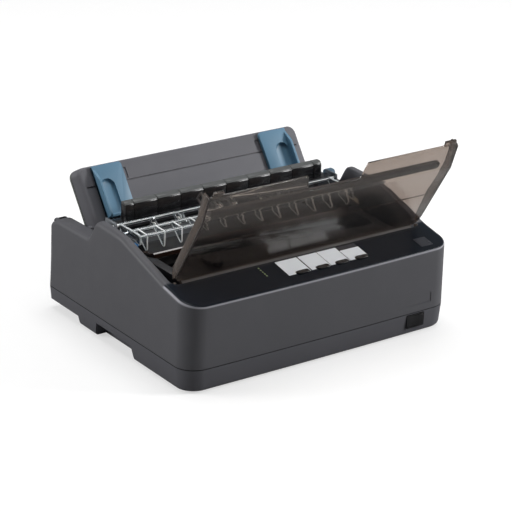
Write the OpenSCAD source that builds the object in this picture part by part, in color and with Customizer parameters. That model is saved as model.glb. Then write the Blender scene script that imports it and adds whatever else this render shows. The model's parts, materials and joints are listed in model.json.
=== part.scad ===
// Narrow-carriage dot matrix printer with its smoked cover open and its sheet guide raised.
// Millimetres. X runs to the right seen from the front, Y to the rear, Z up.
// The origin is the middle of the flat underside. The rubber feet stand below it.

/* [Housing] */
// Width of the housing, without the platen knob
body_w = 348; // [340:1:380]
// Depth of the housing
body_d = 275; // [269:1:295]
// Height of the rubber feet
foot_h = 1.5; // [1:0.1:4]
// Diameter of the rubber feet
foot_d = 18; // [12:1:24]
// Height of the seam between lower case and upper housing
parting_z = 25.4; // [24.6:0.2:27]
// Height of the front face's top edge
front_z = 95.4; // [93:0.2:97]
// Height of the side walls at their highest point
peak_z = 131.5; // [130:0.5:137]
// Thickness of the moulded walls
wall = 2.5; // [2:0.1:3]
// Radius of the two front corners, seen from above
corner_r = 24; // [16:1:30]
// Slope of the control panel, in degrees
panel_angle = 11.3; // [9:0.1:12]
// Depth of the control panel along Y
panel_d = 46; // [44:0.5:48]
// Width of the rim on each side of the top opening
rim_w = 11.5; // [10.5:0.5:13]

/* [Smoked cover] */
// Thickness of the cover
cover_t = 2.2; // [1.6:0.1:2.6]
// Angle by which the cover stands open, in degrees
cover_open = 105.5; // [90:0.5:110]
// Depth of the cover's side flanges
flange_h = 11; // [8:0.5:13]
// Running gap between cover and rim on each side
cover_gap = 2.5; // [2:0.1:4]
// Diameter of the cover's hinge pins
cover_pin_d = 3; // [2.5:0.1:3.2]
// Width of the notch in the cover's upper edge
notch_w = 76; // [40:1:120]
// Depth of that notch
notch_d = 20; // [10:1:22]

/* [Sheet guide] */
// Room between the sheet guide's front face and the rear arm on each side
guide_gap = 9.2; // [8:0.1:12]
// Thickness of the sheet guide's body
guide_t = 14; // [12:0.5:15]
// Length of the sheet guide up its slope
guide_len = 74; // [66:1:80]
// Lean of the raised sheet guide from the vertical, in degrees
guide_lean = 36.3; // [32:0.1:38]
// Angle by which the sheet guide folds back, in degrees
guide_fold = 48; // [40:1:50]
// Diameter of the sheet guide's hinge pins
guide_pin_d = 6; // [4:0.5:7]
// Width of each blue edge guide
edge_w = 37; // [30:1:42]
// Height of the edge guide's fence
edge_fence_h = 11.4; // [8:0.2:14]
// Distance from the sheet guide's edge to each edge guide's fence
edge_inset = 15.3; // [14:0.1:24]

/* [Paper path] */
// Diameter of the rubber platen
platen_d = 30; // [28:0.5:31]
// Distance from each side frame to the rubber of the platen
platen_gap = 21.5; // [18:0.5:30]
// Diameter of the platen's steel shaft
shaft_d = 8; // [6:0.5:10]
// Diameter of the platen knob
knob_d = 34; // [28:1:40]
// Width of the platen knob
knob_w = 12; // [8:0.5:16]
// Diameter of the pinch rollers
pinch_d = 6; // [5:0.5:8]
// Distance from each side frame to the end of the segmented separator bar
separator_gap = 15.5; // [14:0.5:20]
// Height of the separator bar
separator_h = 20; // [16:0.5:22]
// Depth of the separator bar
separator_d = 9.5; // [8:0.5:11]
// Gap between the clear tension unit and each side frame
tension_gap = 5.5; // [5:0.5:9]
// Diameter of the star wheels
star_d = 9; // [7:0.5:10]

/* [Carriage] */
// Diameter of the carriage rod
rod_d = 8; // [6:0.5:10]
// Width of the carriage
carriage_w = 44; // [36:1:54]
// Travel of the carriage to each side of the middle
carriage_travel = 88; // [80:1:90]
// Pitch diameter of the belt pulleys
pulley_d = 14; // [11:0.5:16]
// Width of the ribbon
ribbon_h = 13; // [10:0.5:14]

/* [Gears] */
// Module of the feed gears: pitch diameter over tooth count
gear_module = 1; // [0.9:0.05:1.05]
// Width of the feed gears
gear_w = 4; // [3:0.2:4.6]

/* [Tractors] */
// Width of each tractor
tractor_w = 22; // [18:1:26]
// Side of the square tractor shaft
tractor_bar = 6; // [5:0.5:7]
// Distance of each tractor from the middle
tractor_x = 100; // [80:1:104]

/* [Controls] */
// Length of the oval panel buttons
button_l = 16; // [12:0.5:18]
// Width of the oval panel buttons
button_w = 6; // [5:0.2:7]
// Height by which the buttons stand out
button_h = 1.6; // [1:0.1:2.5]
// Travel of the buttons
button_travel = 0.6; // [0.4:0.1:0.8]
// Width of the power rocker's opening
rocker_w = 21.7; // [18:0.1:24]
// Height of the power rocker's opening
rocker_h = 13; // [10:0.5:14]
// Angle between the rocker's two positions, in degrees
rocker_throw = 16; // [10:1:18]

/* [Hidden] */

$fn = 48;
eps = 0.01;
shaft_gap = 0.05;
seat_gap = 0.3;

half_w = body_w / 2;
front_y = -body_d / 2;
rear_y = body_d / 2;
base_z = 0;
rear_corner_r = 6;
side_draft = 1.2;
rear_draft = 5;

// Top opening and side profile of the housing
open_y = front_y + panel_d;
open_z = front_z + panel_d * tan(panel_angle);
open_x = half_w - rim_w;
crest_y = -8;
crest_z = peak_z - 2;
peak_y = 37.8;
notch_y = 56;
stub_z = peak_z - 23.6;
stub_x = half_w - 19.5;
skirt_t = 1.8;
skirt_h = 15;

// Cover, drawn closed about its hinge
hinge_y = open_y + 3.1;
hinge_z = open_z - 1.4;
lip_r = 2.4;
lip_set = 0.6;
cover_x = open_x - cover_gap;
crease_y = crest_y + 12.8;
cover_rise = atan2(crest_z - 0.1 - hinge_z, crease_y - hinge_y);
cover_low = (crease_y - hinge_y) / cos(cover_rise);
cover_bend = cover_rise - 3.3;
cover_up = 31.8;
flange_t = 2.2;
band_v = 1.2;
band_w = 9;
band_h = 4;
tab_w = 15;
tab_h = 5;
brace_w = 2 * cover_x - 28;

// Frames of the mechanism
frame_t = 2;
frame_x = open_x - 16;
deck_z = 38;
deck_t = 2;
frame_front_y = -48;
frame_rear_y = 118;

// Widths that follow the housing and the frames
guide_w = 2 * (stub_x - guide_gap);
platen_len = 2 * (frame_x - platen_gap);
separator_w = 2 * (frame_x - separator_gap);
tension_w = 2 * (frame_x - tension_gap);
edge_x = guide_w / 2 - edge_inset;

// Platen and the gear train beside it
platen_y = 24;
platen_z = 86;
platen_r = platen_d / 2;
train_angle = -30;
gear_x = frame_x + frame_t + 1;
platen_teeth = 40;
idler_teeth = 18;
pinion_teeth = 10;
platen_gear_r = gear_module * platen_teeth / 2;
idler_r = gear_module * idler_teeth / 2;
pinion_r = gear_module * pinion_teeth / 2;
mesh_gap = 0.25;
idler_reach = platen_gear_r + idler_r + mesh_gap;
idler_y = platen_y + idler_reach * cos(train_angle);
idler_z = platen_z + idler_reach * sin(train_angle);
pinion_angle = -80;
pinion_reach = idler_r + pinion_r + mesh_gap;
pinion_y = idler_y + pinion_reach * cos(pinion_angle);
pinion_z = idler_z + pinion_reach * sin(pinion_angle);
transfer_teeth = 36;
tractor_teeth = 26;
transfer_r = gear_module * transfer_teeth / 2;
tractor_r = gear_module * tractor_teeth / 2;
bar_z = 76;
transfer_angle = 4.5;
transfer_reach = idler_r + transfer_r + mesh_gap;
transfer_y = idler_y + transfer_reach * cos(transfer_angle);
transfer_z = idler_z + transfer_reach * sin(transfer_angle);
bar_rise = (bar_z - transfer_z) / (transfer_r + tractor_r + mesh_gap);
bar_y = transfer_y + (transfer_r + tractor_r + mesh_gap) * sqrt(1 - bar_rise * bar_rise);
knob_x = half_w + 2;
idler_pin_d = 4;
motor_d = 32;
motor_len = 34;
motor_shaft_d = 3;

// Pinch rollers and the pan under the platen
pinch_angle = -110;
pinch_reach = platen_r + pinch_d / 2 + seat_gap;
pinch_y = platen_y + pinch_reach * cos(pinch_angle);
pinch_z = platen_z + pinch_reach * sin(pinch_angle);
pinch_shaft_d = 3;
pinch_xs = [-90, -30, 30, 90];
pinch_len = 22;
pan_r = platen_r + 5.2;
pan_t = 1;

// Clear tension unit over the paper exit
rail_d = 4;
tension_y = 44;
tension_z = 120;
tension_mid_y = 22;
tension_edge_y = 5;
tension_edge_z = 119.5;
fin_tip_y = 4.5;
fin_tip_z = 103;
fin_t = 1.6;
tension_end_t = 2;
star_y = 36;
star_z = 113.5;
star_shaft_d = 2.4;
wheel_pitch = 15.6;
fin_pitch = 22;
fin_count = 13;

// Separator bar
separator_y = 47.5;
separator_z = 121.5;
segment_pitch = 30;
groove_w = 0.8;

// Sheet guide, drawn in its own slope: U along X, V up the slope, W out of the front face
guide_y = 86.8;
guide_z = 110;
guide_low = -12;
guide_pin_v = -5;
guide_pin_w = -5.5;
guide_side = 6.5;
guide_shell_t = 2.4;
edge_t = 3;
track_v = 37.4;
track_w = 1.6;
edge_len = 60;
guide_pin_y = guide_y + guide_pin_v * sin(guide_lean) - guide_pin_w * cos(guide_lean);
guide_pin_z = guide_z + guide_pin_v * cos(guide_lean) + guide_pin_w * sin(guide_lean);

// Carriage, print head and ribbon
rod_y = -20;
rod_z = 63;
rail_y = -45;
belt_y = -34;
belt_z = 59;
belt_w = 5;
belt_t = 1.2;
pulley_x = frame_x - 20.5;
head_z = platen_z;
nose_y = platen_y - platen_r - 1.4;
ribbon_y = nose_y + seat_gap;
ribbon_t = 0.2;
cartridge_x = frame_x - 4.5;
cartridge_y0 = -77;
cartridge_y1 = -43;
cartridge_z0 = 81;
cartridge_z1 = 100;
arm_w = 11;
take_up_x = 54 - cartridge_x;
take_up_y = -60;
guide_bar_y = -6;
guide_bar_z = 95;
guide_bar_d = 8;
guide_bar_h = 7;

// Tractors
tractor_rod_z = bar_z - 14;
tractor_rod_d = 5;
tractor_h = 27;
tractor_d = 28;
tractor_z0 = bar_z - 19;
journal_d = 6;
door_t = 2.4;
door_z = tractor_z0 + tractor_h + 0.8;
door_pin_d = 2;
door_len = 18;
door_w = 15.5;
sprocket_d = 16.6;
sprocket_w = 5;
pin_tip = 10;

// Control panel
button_xs = [-19.8, 6.5, 32, 58.4];
button_v = 16.8;
button_gap = 0.3;
button_seat = wall + 1;
legend_xs = [-38, -8.4, 17, 42.5];
legend_ws = [28, 24.6, 24.6, 24.6];
legend_v0 = 16;
legend_ls = [27, 27, 27, 20];
legend_t = 0.3;
lamp_x = -60.5;
lamp_v0 = 25;
lamp_pitch = 3.8;
lamp_count = 5;
lamp_d = 1.8;
board_t = 1.6;
panel_board_w = 14;
switch_h = 4;
stem_l = 9;
square_label_x = 142.4;
square_label_v = 16.8;
square_label_s = 16.4;

// Power rocker in the front of the lower case
rocker_x = 124.8;
rocker_z = 16;
rocker_depth = 6;

// Connectors on the rear wall
ports_x0 = -96;
ports_x1 = 4;
ports_z0 = 9;
ports_z1 = 21.5;
inlet_x = 112;
inlet_z = 45;
inlet_w = 28;
inlet_h = 20;
inlet_set = 2.6;
inlet_back = 22;
terminal_l = 6;
boards_z = base_z + wall + 4;
supply_x1 = frame_x - 14.5;
supply_x0 = supply_x1 - 58;
main_x0 = -frame_x + 18.5;
main_x1 = supply_x0 - 6;
board_w0 = 10;
panel_post_xs = [-64, 71];
panel_post_vs = [13, 41];
screw_d = 3;
screw_seat = 11;
screw_ys = [front_y + 20, rear_y - 14];

// ---------- helpers ----------

// Extrudes a (Y, Z) outline from x0 to x1
module along_x(x0, x1) {
    translate([x0, 0, 0]) rotate([90, 0, 90]) linear_extrude(x1 - x0) children();
}

// Extrudes an (X, Z) outline from y0 to y1
module along_y(y0, y1) {
    translate([0, y1, 0]) rotate([90, 0, 0]) linear_extrude(y1 - y0) children();
}

// Round bar along X
module bar_x(x0, x1, y, z, d) {
    translate([x0, y, z]) rotate([0, 90, 0]) cylinder(h = x1 - x0, d = d);
}

// Box between two corners
module block(a, b) {
    translate(a) cube(b - a);
}

// The children, and their mirror image on the left
module both_sides() {
    children();
    mirror([1, 0, 0]) children();
}

// Rectangle with round corners, centred
module round_rect(w, h, r) {
    square([w - 2 * r, h], center = true);
    square([w, h - 2 * r], center = true);
    for (x = [-1, 1], y = [-1, 1]) translate([x * (w / 2 - r), y * (h / 2 - r)]) circle(r);
}

// Stadium shape along X, centred
module oval(l, w) {
    square([l - w, w], center = true);
    for (x = [-1, 1]) translate([x * (l - w) / 2, 0]) circle(d = w);
}

// Seat on the sloping control panel: X across, Y up the slope, Z out of the panel
module on_panel() {
    translate([0, front_y, front_z]) rotate([panel_angle, 0, 0]) children();
}

// Seat on the sheet guide's front face: X across, Y up the slope, Z out of the face
module on_guide() {
    translate([0, guide_y, guide_z]) rotate([90 - guide_lean, 0, 0]) children();
}

// Gear outline: straight-sided teeth with plenty of backlash
module gear_2d(teeth) {
    r = gear_module * teeth / 2;
    step = 360 / teeth;
    root = r - 1.15 * gear_module;
    tip = r + 0.8 * gear_module;
    function at(radius, angle) = [radius * cos(angle), radius * sin(angle)];
    polygon([for (i = [0 : teeth - 1], k = [-1, 1], q = [0, 1])
        let (first = (k < 0) ? q : 1 - q)
        at(first == 0 ? root : tip, step * i + k * step * (first == 0 ? 0.27 : 0.11))]);
}

// ---------- housing ----------

// Plan of the housing, drawn in by t on every side
module plan(t) {
    w = body_w - 2 * t;
    d = body_d - 2 * t;
    rf = corner_r - t;
    rr = rear_corner_r - t;
    translate([-w / 2, -d / 2 + rf]) square([w, d - rf - rr]);
    translate([-w / 2 + rf, -d / 2]) square([w - 2 * rf, rf + 1]);
    translate([-w / 2 + rr, d / 2 - rr - 1]) square([w - 2 * rr, rr + 1]);
    for (s = [-1, 1]) {
        translate([s * (w / 2 - rf), -d / 2 + rf]) circle(rf, $fn = 96);
        translate([s * (w / 2 - rr), d / 2 - rr]) circle(rr);
    }
}

// Side view of the upper housing, drawn in by t
module side_profile(t) {
    bottom = parting_z - (t > 0 ? 1 : 0);
    polygon([
        [front_y + t, bottom],
        [front_y + t, front_z - t - (t > 0 ? 0.5 : 0)],
        [open_y, open_z - t],
        [crest_y, crest_z - t],
        [crest_y + 18, peak_z - 0.7 - t],
        [peak_y, peak_z - t],
        [peak_y + 4 - t, peak_z - 1.3 - t],
        [notch_y - 2 - t, stub_z + 1 - t],
        [notch_y + 2, stub_z - t],
        [rear_y - 15.5, stub_z - 1.5 - t],
        [rear_y - 8 - t, stub_z - 5 - t],
        [rear_y - rear_draft - t, stub_z - 11],
        [rear_y - t, bottom]]);
}

// Front view of the housing's draft, drawn in by t
module draft_profile(t) {
    top = peak_z + 5;
    x1 = half_w - side_draft * (top - parting_z) / (open_z - parting_z) - t;
    polygon([[-half_w + t, parting_z - 2], [half_w - t, parting_z - 2],
        [half_w - t, parting_z], [x1, top], [-x1, top], [-half_w + t, parting_z]]);
}

module upper_body(t) {
    intersection() {
        along_x(-half_w, half_w) side_profile(t);
        translate([0, 0, parting_z - 2]) linear_extrude(peak_z) plan(t);
        along_y(front_y, rear_y) draft_profile(t);
    }
}

// Everything above the mechanism that is left open
module top_opening() {
    r = 8;
    translate([0, 0, parting_z + 40]) linear_extrude(peak_z) {
        translate([-open_x, open_y + r]) square([2 * open_x, notch_y - open_y - r]);
        translate([-open_x + r, open_y]) square([2 * open_x - 2 * r, r + 1]);
        for (s = [-1, 1]) translate([s * (open_x - r), open_y + r]) circle(r);
    }
    block([-stub_x, notch_y - 1, parting_z + 54.6], [stub_x, rear_y + 1, peak_z + 10]);
}

// Skirt that hangs from the rim beside the opening
module rim_skirt() {
    along_x(open_x, open_x + skirt_t) intersection() {
        polygon([[open_y - 5, open_z - skirt_h], [open_y - 5, open_z - wall / 2],
            [crest_y, crest_z - wall / 2], [peak_y, peak_z - wall / 2],
            [peak_y, peak_z - skirt_h], [crest_y, crest_z - skirt_h]]);
        side_profile(wall / 2);
    }
}

// Inner wall of the rear arm, which carries the sheet guide's hinge
module rear_arm_wall() {
    along_x(stub_x, stub_x + skirt_t)
        polygon([[notch_y - 2, stub_z - wall / 2], [notch_y - 2, parting_z + 2],
            [rear_y - 10, parting_z + 2], [rear_y - 10, stub_z - 6],
            [rear_y - 16, stub_z - 1.5 - wall / 2]]);
}

module upper_housing() {
    color("#4a4a4d") difference() {
        union() {
            difference() {
                upper_body(0);
                upper_body(wall);
                top_opening();
            }
            both_sides() {
                rim_skirt();
                rear_arm_wall();
            }
            both_sides() for (y = screw_ys)
                translate([half_w - 26, y, parting_z - 6]) cylinder(h = 40, d = 8);
            both_sides() for (y = screw_ys)
                block([half_w - 24, y - 1, parting_z + 2], [half_w - wall, y + 1, parting_z + 30]);
            // Posts that hold the panel board
            on_panel() for (x = panel_post_xs, v = panel_post_vs) translate([x, v, -board_w0])
                cylinder(h = board_w0 - wall / 2, d = 5);
            // Thickening behind the mains inlet
            block([inlet_x - inlet_w / 2 - 6, rear_y - inlet_set - 4, inlet_z - inlet_h / 2 - 6],
                [inlet_x + inlet_w / 2 + 6, rear_y - inlet_set - 1, inlet_z + inlet_h / 2 + 6]);
        }
        // Mains inlet opening and the flat seat of its flange
        along_y(rear_y - inlet_set, rear_y + 2) translate([inlet_x, inlet_z])
            round_rect(inlet_w + 6.6, inlet_h + 5.6, 3.3);
        block([inlet_x - inlet_w / 2 - 0.3, rear_y - 10, inlet_z - inlet_h / 2 - 0.3],
            [inlet_x + inlet_w / 2 + 0.3, rear_y + 1, inlet_z + inlet_h / 2 + 0.3]);
        // Hinge bores, with room for the cover's hinge eyes
        both_sides() bar_x(cover_x - 10, open_x, hinge_y, hinge_z, 2 * lip_r + 0.7);
        both_sides() bar_x(open_x - 1, open_x + skirt_t + 1, hinge_y, hinge_z,
            cover_pin_d + 2 * shaft_gap);
        both_sides() bar_x(stub_x - 1, stub_x + skirt_t + 1, guide_pin_y, guide_pin_z,
            guide_pin_d + 2 * shaft_gap);
        // Way out for the platen shaft
        bar_x(half_w - 12, half_w + 5, platen_y, platen_z, shaft_d + 8);
        // Buttons, lamps and the bare name-plate recess
        on_panel() {
            for (x = button_xs) translate([x, button_v, -12])
                linear_extrude(14) oval(button_l + 2 * button_gap, button_w + 2 * button_gap);
            for (i = [0 : lamp_count - 1]) translate([lamp_x, lamp_v0 + i * lamp_pitch, -8])
                cylinder(h = 10, d = lamp_d + 2 * shaft_gap);
        }
        block([100, front_y - 1, 34], [145.7, front_y + 0.4, 45]);
        // Screw holes from below
        both_sides() for (y = screw_ys)
            translate([half_w - 26, y, parting_z - 7]) cylinder(h = 14, d = screw_d + 2 * shaft_gap);
    }
}

// Hollows under the sides of the lower case: hand grips, and the raised rear
module side_hollows(t) {
    both_sides() {
        along_x(half_w - 16 - t, half_w + 1) polygon([[-36 - t, base_z - 1], [-30 - t, base_z + 16 + t],
            [38 + t, base_z + 16 + t], [42 + t, base_z - 1]]);
        along_x(half_w - 16 - t, half_w + 1) polygon([[72 - t, base_z - 1], [76 - t, base_z + 10 + t],
            [rear_y + 1, base_z + 10 + t], [rear_y + 1, base_z - 1]]);
    }
}

module lower_body(t) {
    inset = 2.2;
    intersection() {
        translate([0, 0, base_z + t]) linear_extrude(parting_z - base_z - t + (t > 0 ? 1 : 0)) plan(t);
        along_y(front_y, rear_y) polygon([[-half_w + inset + t, base_z], [half_w - inset - t, base_z],
            [half_w - t, parting_z], [half_w - t, parting_z + 2], [-half_w + t, parting_z + 2],
            [-half_w + t, parting_z]]);
        along_x(-half_w, half_w) polygon([[front_y + inset + t, base_z], [rear_y - inset - t, base_z],
            [rear_y - t, parting_z], [rear_y - t, parting_z + 2], [front_y + t, parting_z + 2],
            [front_y + t, parting_z]]);
    }
}

foot_xs = [-half_w + 40, half_w - 40];
foot_ys = [front_y + 26, 58];
deck_y0 = -78;
post_ys = [deck_y0 + 7, frame_rear_y - 7];
standoffs = [for (x = [main_x0 + 8, main_x1 - 8], y = [8, 112]) [x, y],
    for (x = [supply_x0 + 8, supply_x1 - 8], y = [8, 96]) [x, y]];
switch_w = rocker_w + 2.4;
switch_h0 = rocker_h + 2.4;

module lower_case() {
    color("#434346") difference() {
        union() {
            difference() {
                lower_body(0);
                lower_body(wall);
            }
            intersection() {
                lower_body(0);
                side_hollows(wall);
            }
            // Posts under the deck
            for (x = [-frame_x + 8, frame_x - 8], y = post_ys)
                translate([x, y, base_z + 1]) cylinder(h = deck_z - base_z - 1, d = 8);
            // Standoffs under the boards
            for (p = standoffs) translate([p[0], p[1], base_z + 1])
                cylinder(h = boards_z - base_z - 1, d = 6);
            // Screw bosses
            both_sides() for (y = screw_ys)
                translate([half_w - 26, y, base_z + 1]) cylinder(h = parting_z - base_z - 7.3, d = 11);
        }
        side_hollows(0);
        // Opening for the power switch
        block([rocker_x - switch_w / 2 - 0.3, front_y - 1, rocker_z - switch_h0 / 2 - 0.3],
            [rocker_x + switch_w / 2 + 0.3, front_y + 6, rocker_z + switch_h0 / 2 + 0.3]);
        // Opening for the connectors
        block([ports_x0, rear_y - 8, ports_z0], [ports_x1, rear_y + 1, ports_z1]);
        // Screw ways
        both_sides() for (y = screw_ys) {
            translate([half_w - 26, y, base_z - 1]) cylinder(h = screw_seat - base_z + 1, d = 7);
            translate([half_w - 26, y, base_z - 1]) cylinder(h = 30, d = screw_d + 2 * shaft_gap);
        }
        // Cooling slots
        for (i = [-6 : 6])
            block([i * 9 - 1.5, -100, base_z - 1], [i * 9 + 1.5, -60, base_z + wall + 1]);
    }
}

module rubber_feet() {
    color("#1c1c1e") for (x = foot_xs, y = foot_ys)
        translate([x, y, base_z - foot_h]) cylinder(h = foot_h, d = foot_d);
}

module housing_screws() {
    color("#9a9ca0") both_sides() for (y = screw_ys) translate([half_w - 26, y, 0])
        difference() {
            union() {
                translate([0, 0, screw_seat - 2.6]) cylinder(h = 2.6, d = 6.4);
                translate([0, 0, screw_seat - 0.5]) cylinder(h = 19, d = screw_d);
            }
            for (a = [0, 90]) rotate([0, 0, a]) translate([-2, -0.4, screw_seat - 3]) cube([4, 0.8, 1.6]);
        }
}

// ---------- connectors and switch ----------

// D-shaped outline of a connector shell
module d_shape(w, h) {
    polygon([[-w / 2, h / 2], [w / 2, h / 2], [w / 2 - h * 0.18, -h / 2], [-w / 2 + h * 0.18, -h / 2]]);
}

module rear_connectors() {
    color("#8d9094") {
        translate([-62, 0, boards_z + board_t + 6.2]) {
            along_y(rear_y - 24, rear_y - 6) square([66, 12.4], center = true);
            difference() {
                along_y(rear_y - 7, rear_y - 1.5) d_shape(52, 10);
                along_y(rear_y - 5, rear_y) d_shape(49, 8);
            }
            along_y(rear_y - 5.5, rear_y - 2.5) square([44, 2.6], center = true);
        }
        translate([-14, 0, boards_z + board_t + 6.2]) {
            along_y(rear_y - 24, rear_y - 6) square([30, 12.4], center = true);
            difference() {
                along_y(rear_y - 7, rear_y - 1.5) d_shape(18, 9);
                along_y(rear_y - 5, rear_y) d_shape(16, 7);
            }
            along_y(rear_y - 5.5, rear_y - 2.5) d_shape(13, 4);
        }
    }
}

module mains_inlet() {
    color("#17171a") translate([inlet_x, 0, inlet_z]) difference() {
        union() {
            along_y(rear_y - inlet_back, rear_y - inlet_set + 0.5) square([inlet_w, inlet_h], center = true);
            along_y(rear_y - inlet_set, rear_y - inlet_set + 1.8) round_rect(inlet_w + 6, inlet_h + 5, 3);
            for (x = [-7, 0, 7]) along_y(rear_y - inlet_back - terminal_l, rear_y - inlet_back + 1)
                translate([x, x == 0 ? 2 : -3]) square([1, 4.8], center = true);
        }
        along_y(rear_y - 15, rear_y + 3)
            polygon([[-12, -8], [12, -8], [12, 3], [7, 8], [-7, 8], [-12, 3]]);
    }
    color("#b9b9bc") translate([inlet_x, 0, inlet_z]) for (x = [-7, 0, 7])
        along_y(rear_y - 15.5, rear_y - 3) translate([x, x == 0 ? 2 : -2]) square([2, 4], center = true);
}

rocker_y = front_y + 4.6;
rocker_half = rocker_w / 2 - 0.9;
rocker_pin_d = 2.4;

module power_switch_body() {
    color("#1a1a1c") difference() {
        union() {
            along_y(front_y + 0.3, front_y + 15) translate([rocker_x, rocker_z])
                round_rect(switch_w, switch_h0, 1);
            for (x = [rocker_x - switch_w / 2 - 0.5, rocker_x + switch_w / 2 + 0.5])
                block([x - 1.5, front_y + 4.6, rocker_z - 4], [x + 1.5, front_y + 7, rocker_z + 4]);
            for (x = [-6, 0, 6]) block([rocker_x + x - 0.4, front_y + 14, rocker_z - 3],
                [rocker_x + x + 0.4, front_y + 23, rocker_z + 3]);
        }
        block([rocker_x - rocker_w / 2, front_y - 1, rocker_z - rocker_h / 2],
            [rocker_x + rocker_w / 2, front_y + 11, rocker_z + rocker_h / 2]);
        translate([rocker_x, rocker_y, rocker_z - rocker_h / 2 - 0.8])
            cylinder(h = rocker_h + 1.6, d = rocker_pin_d + 2 * shaft_gap);
    }
}

module power_rocker() {
    color("#2b2b2e") translate([rocker_x, rocker_y, rocker_z]) rotate([0, 0, -rocker_throw / 2]) {
        translate([0, 0, -rocker_h / 2 + 0.3]) linear_extrude(rocker_h - 0.6)
            polygon([[-rocker_half, -5.4], [-rocker_half * 0.5, -4.5], [0, -4.1], [rocker_half * 0.5, -4.5],
                [rocker_half, -5.4], [rocker_half, -1], [4, 3], [-4, 3], [-rocker_half, -1]]);
        translate([0, 0, -rocker_h / 2 - 0.6]) cylinder(h = rocker_h + 1.2, d = rocker_pin_d);
    }
}

// ---------- control panel ----------

module panel_legends() {
    color("#d3d7d6") on_panel() {
        difference() {
            for (i = [0 : 3]) translate([legend_xs[i], legend_v0, 0])
                cube([legend_ws[i], legend_ls[i], legend_t]);
            for (x = button_xs) translate([x, button_v, -1])
                linear_extrude(3) oval(button_l + 2 * button_gap + 1, button_w + 2 * button_gap + 1);
        }
        translate([legend_xs[3], legend_v0 + 21, 0]) cube([legend_ws[3], 6, legend_t]);
        translate([square_label_x - square_label_s / 2, square_label_v - square_label_s / 2, 0])
            cube([square_label_s, square_label_s, legend_t]);
    }
}

module indicator_lights() {
    color("#9fb08a") on_panel() for (i = [0 : lamp_count - 1])
        translate([lamp_x, lamp_v0 + i * lamp_pitch, -board_w0])
            cylinder(h = board_w0 + 0.2, d = lamp_d);
}

module panel_board() {
    color("#2f5d3a") on_panel() {
        translate([panel_post_xs[0] - 4, 9, -board_w0 - board_t])
            cube([panel_post_xs[1] - panel_post_xs[0] + 8, 36, board_t]);
        for (x = button_xs) translate([x - 3, button_v - 3, -board_w0]) cube([6, 6, switch_h]);
        for (x = [-40, -10, 20, 50]) translate([x, 30, -board_w0]) cube([8, 5, 2]);
    }
}

module panel_button(i) {
    color("#141417") on_panel() translate([button_xs[i], button_v, 0]) {
        translate([0, 0, -button_seat - 0.1]) linear_extrude(button_seat + 0.1 + button_h)
            oval(button_l, button_w);
        translate([0, 0, -button_seat - 1.3]) linear_extrude(1.3) oval(button_l + 2.4, button_w + 2.4);
        translate([0, 0, switch_h - board_w0 + button_travel + 0.1]) cylinder(h = 1.6, d = 3);
    }
}

module panel_button_1() {
    panel_button(0);
}

module panel_button_2() {
    panel_button(1);
}

module panel_button_3() {
    panel_button(2);
}

module panel_button_4() {
    panel_button(3);
}

// ---------- smoked cover ----------

// Seat on the open cover: Y up along its lower part, Z out of its outer face
module on_cover() {
    translate([0, hinge_y, hinge_z]) rotate([cover_open + cover_rise, 0, 0]) children();
}

// Cover section from u0 on, t0 to t1 under its outer face
module cover_section(t0, t1, u0) {
    polygon([[u0, -lip_set - t1], [u0, -lip_set - t0], [cover_low, -lip_set - t0],
        [cover_low + cover_up * cos(cover_bend), -lip_set - t0 - cover_up * sin(cover_bend)],
        [cover_low + cover_up * cos(cover_bend) - t1 * sin(cover_bend),
            -lip_set - t0 - cover_up * sin(cover_bend) - (t1 - t0) * cos(cover_bend)],
        [cover_low - (t1 - t0) * tan(cover_bend / 2), -lip_set - t1]]);
}

module printer_cover() {
    top = cover_low + cover_up;
    color("#4a423d") on_cover() difference() {
        union() {
            // Outer skin, its lower corners rounded
            intersection() {
                along_x(-cover_x, cover_x) cover_section(0, cover_t, 2);
                translate([0, 0, -40]) linear_extrude(80) union() {
                    translate([-cover_x, 10]) square([2 * cover_x, top]);
                    translate([-cover_x + 10, 0]) square([2 * cover_x - 20, 12]);
                    for (s = [-1, 1]) translate([s * (cover_x - 10), 10]) circle(10);
                }
            }
            // Lip along the hinge line
            bar_x(-cover_x + 9, cover_x - 9, 0, 0, 2 * lip_r);
            along_x(-cover_x + 9, cover_x - 9) polygon([[0, -lip_set - cover_t], [0, lip_r - 0.6],
                [4, -lip_set], [4, -lip_set - cover_t]]);
            // Side flanges with hinge eyes and pins
            both_sides() {
                along_x(cover_x - flange_t, cover_x) cover_section(cover_t / 2, flange_h, 7);
                bar_x(cover_x - flange_t, cover_x, 0, 0, 2 * lip_r);
                along_x(cover_x - flange_t, cover_x)
                    polygon([[0, -lip_r], [0, lip_r - 0.8], [8, -lip_set - cover_t / 2],
                        [8, -flange_h + 3]]);
                bar_x(cover_x - 1, open_x + skirt_t + 0.4, 0, 0, cover_pin_d);
            }
            // Stiffening band inside the bend, its right end round
            translate([0, cover_low, -lip_set]) rotate([-cover_bend, 0, 0])
                translate([0, 0, -cover_t - band_h]) linear_extrude(band_h + 0.5) {
                    translate([-cover_x + 12, band_v]) square([2 * cover_x - 28.4 - band_w / 2, band_w]);
                    translate([cover_x - 16.4 - band_w / 2, band_v + band_w / 2]) circle(band_w / 2);
                }
            // Tabs on the upper edge
            translate([0, cover_low, -lip_set]) rotate([-cover_bend, 0, 0]) {
                translate([cover_x - 4 - tab_w, cover_up - 2, -cover_t]) cube([tab_w, tab_h + 2, cover_t]);
                translate([-cover_x + 4, cover_up - 2, -cover_t]) cube([tab_w, tab_h + 2, cover_t]);
            }
        }
        // Notch in the upper edge
        translate([0, cover_low, -lip_set]) rotate([-cover_bend, 0, 0])
            translate([0, 0, -20]) linear_extrude(40) union() {
                translate([-notch_w / 2, cover_up - notch_d + 4]) square([notch_w, notch_d]);
                translate([-notch_w / 2 + 4, cover_up - notch_d]) square([notch_w - 8, notch_d]);
                for (s = [-1, 1])
                    translate([s * (notch_w / 2 - 4), cover_up - notch_d + 4]) circle(4);
            }
    }
}

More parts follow.
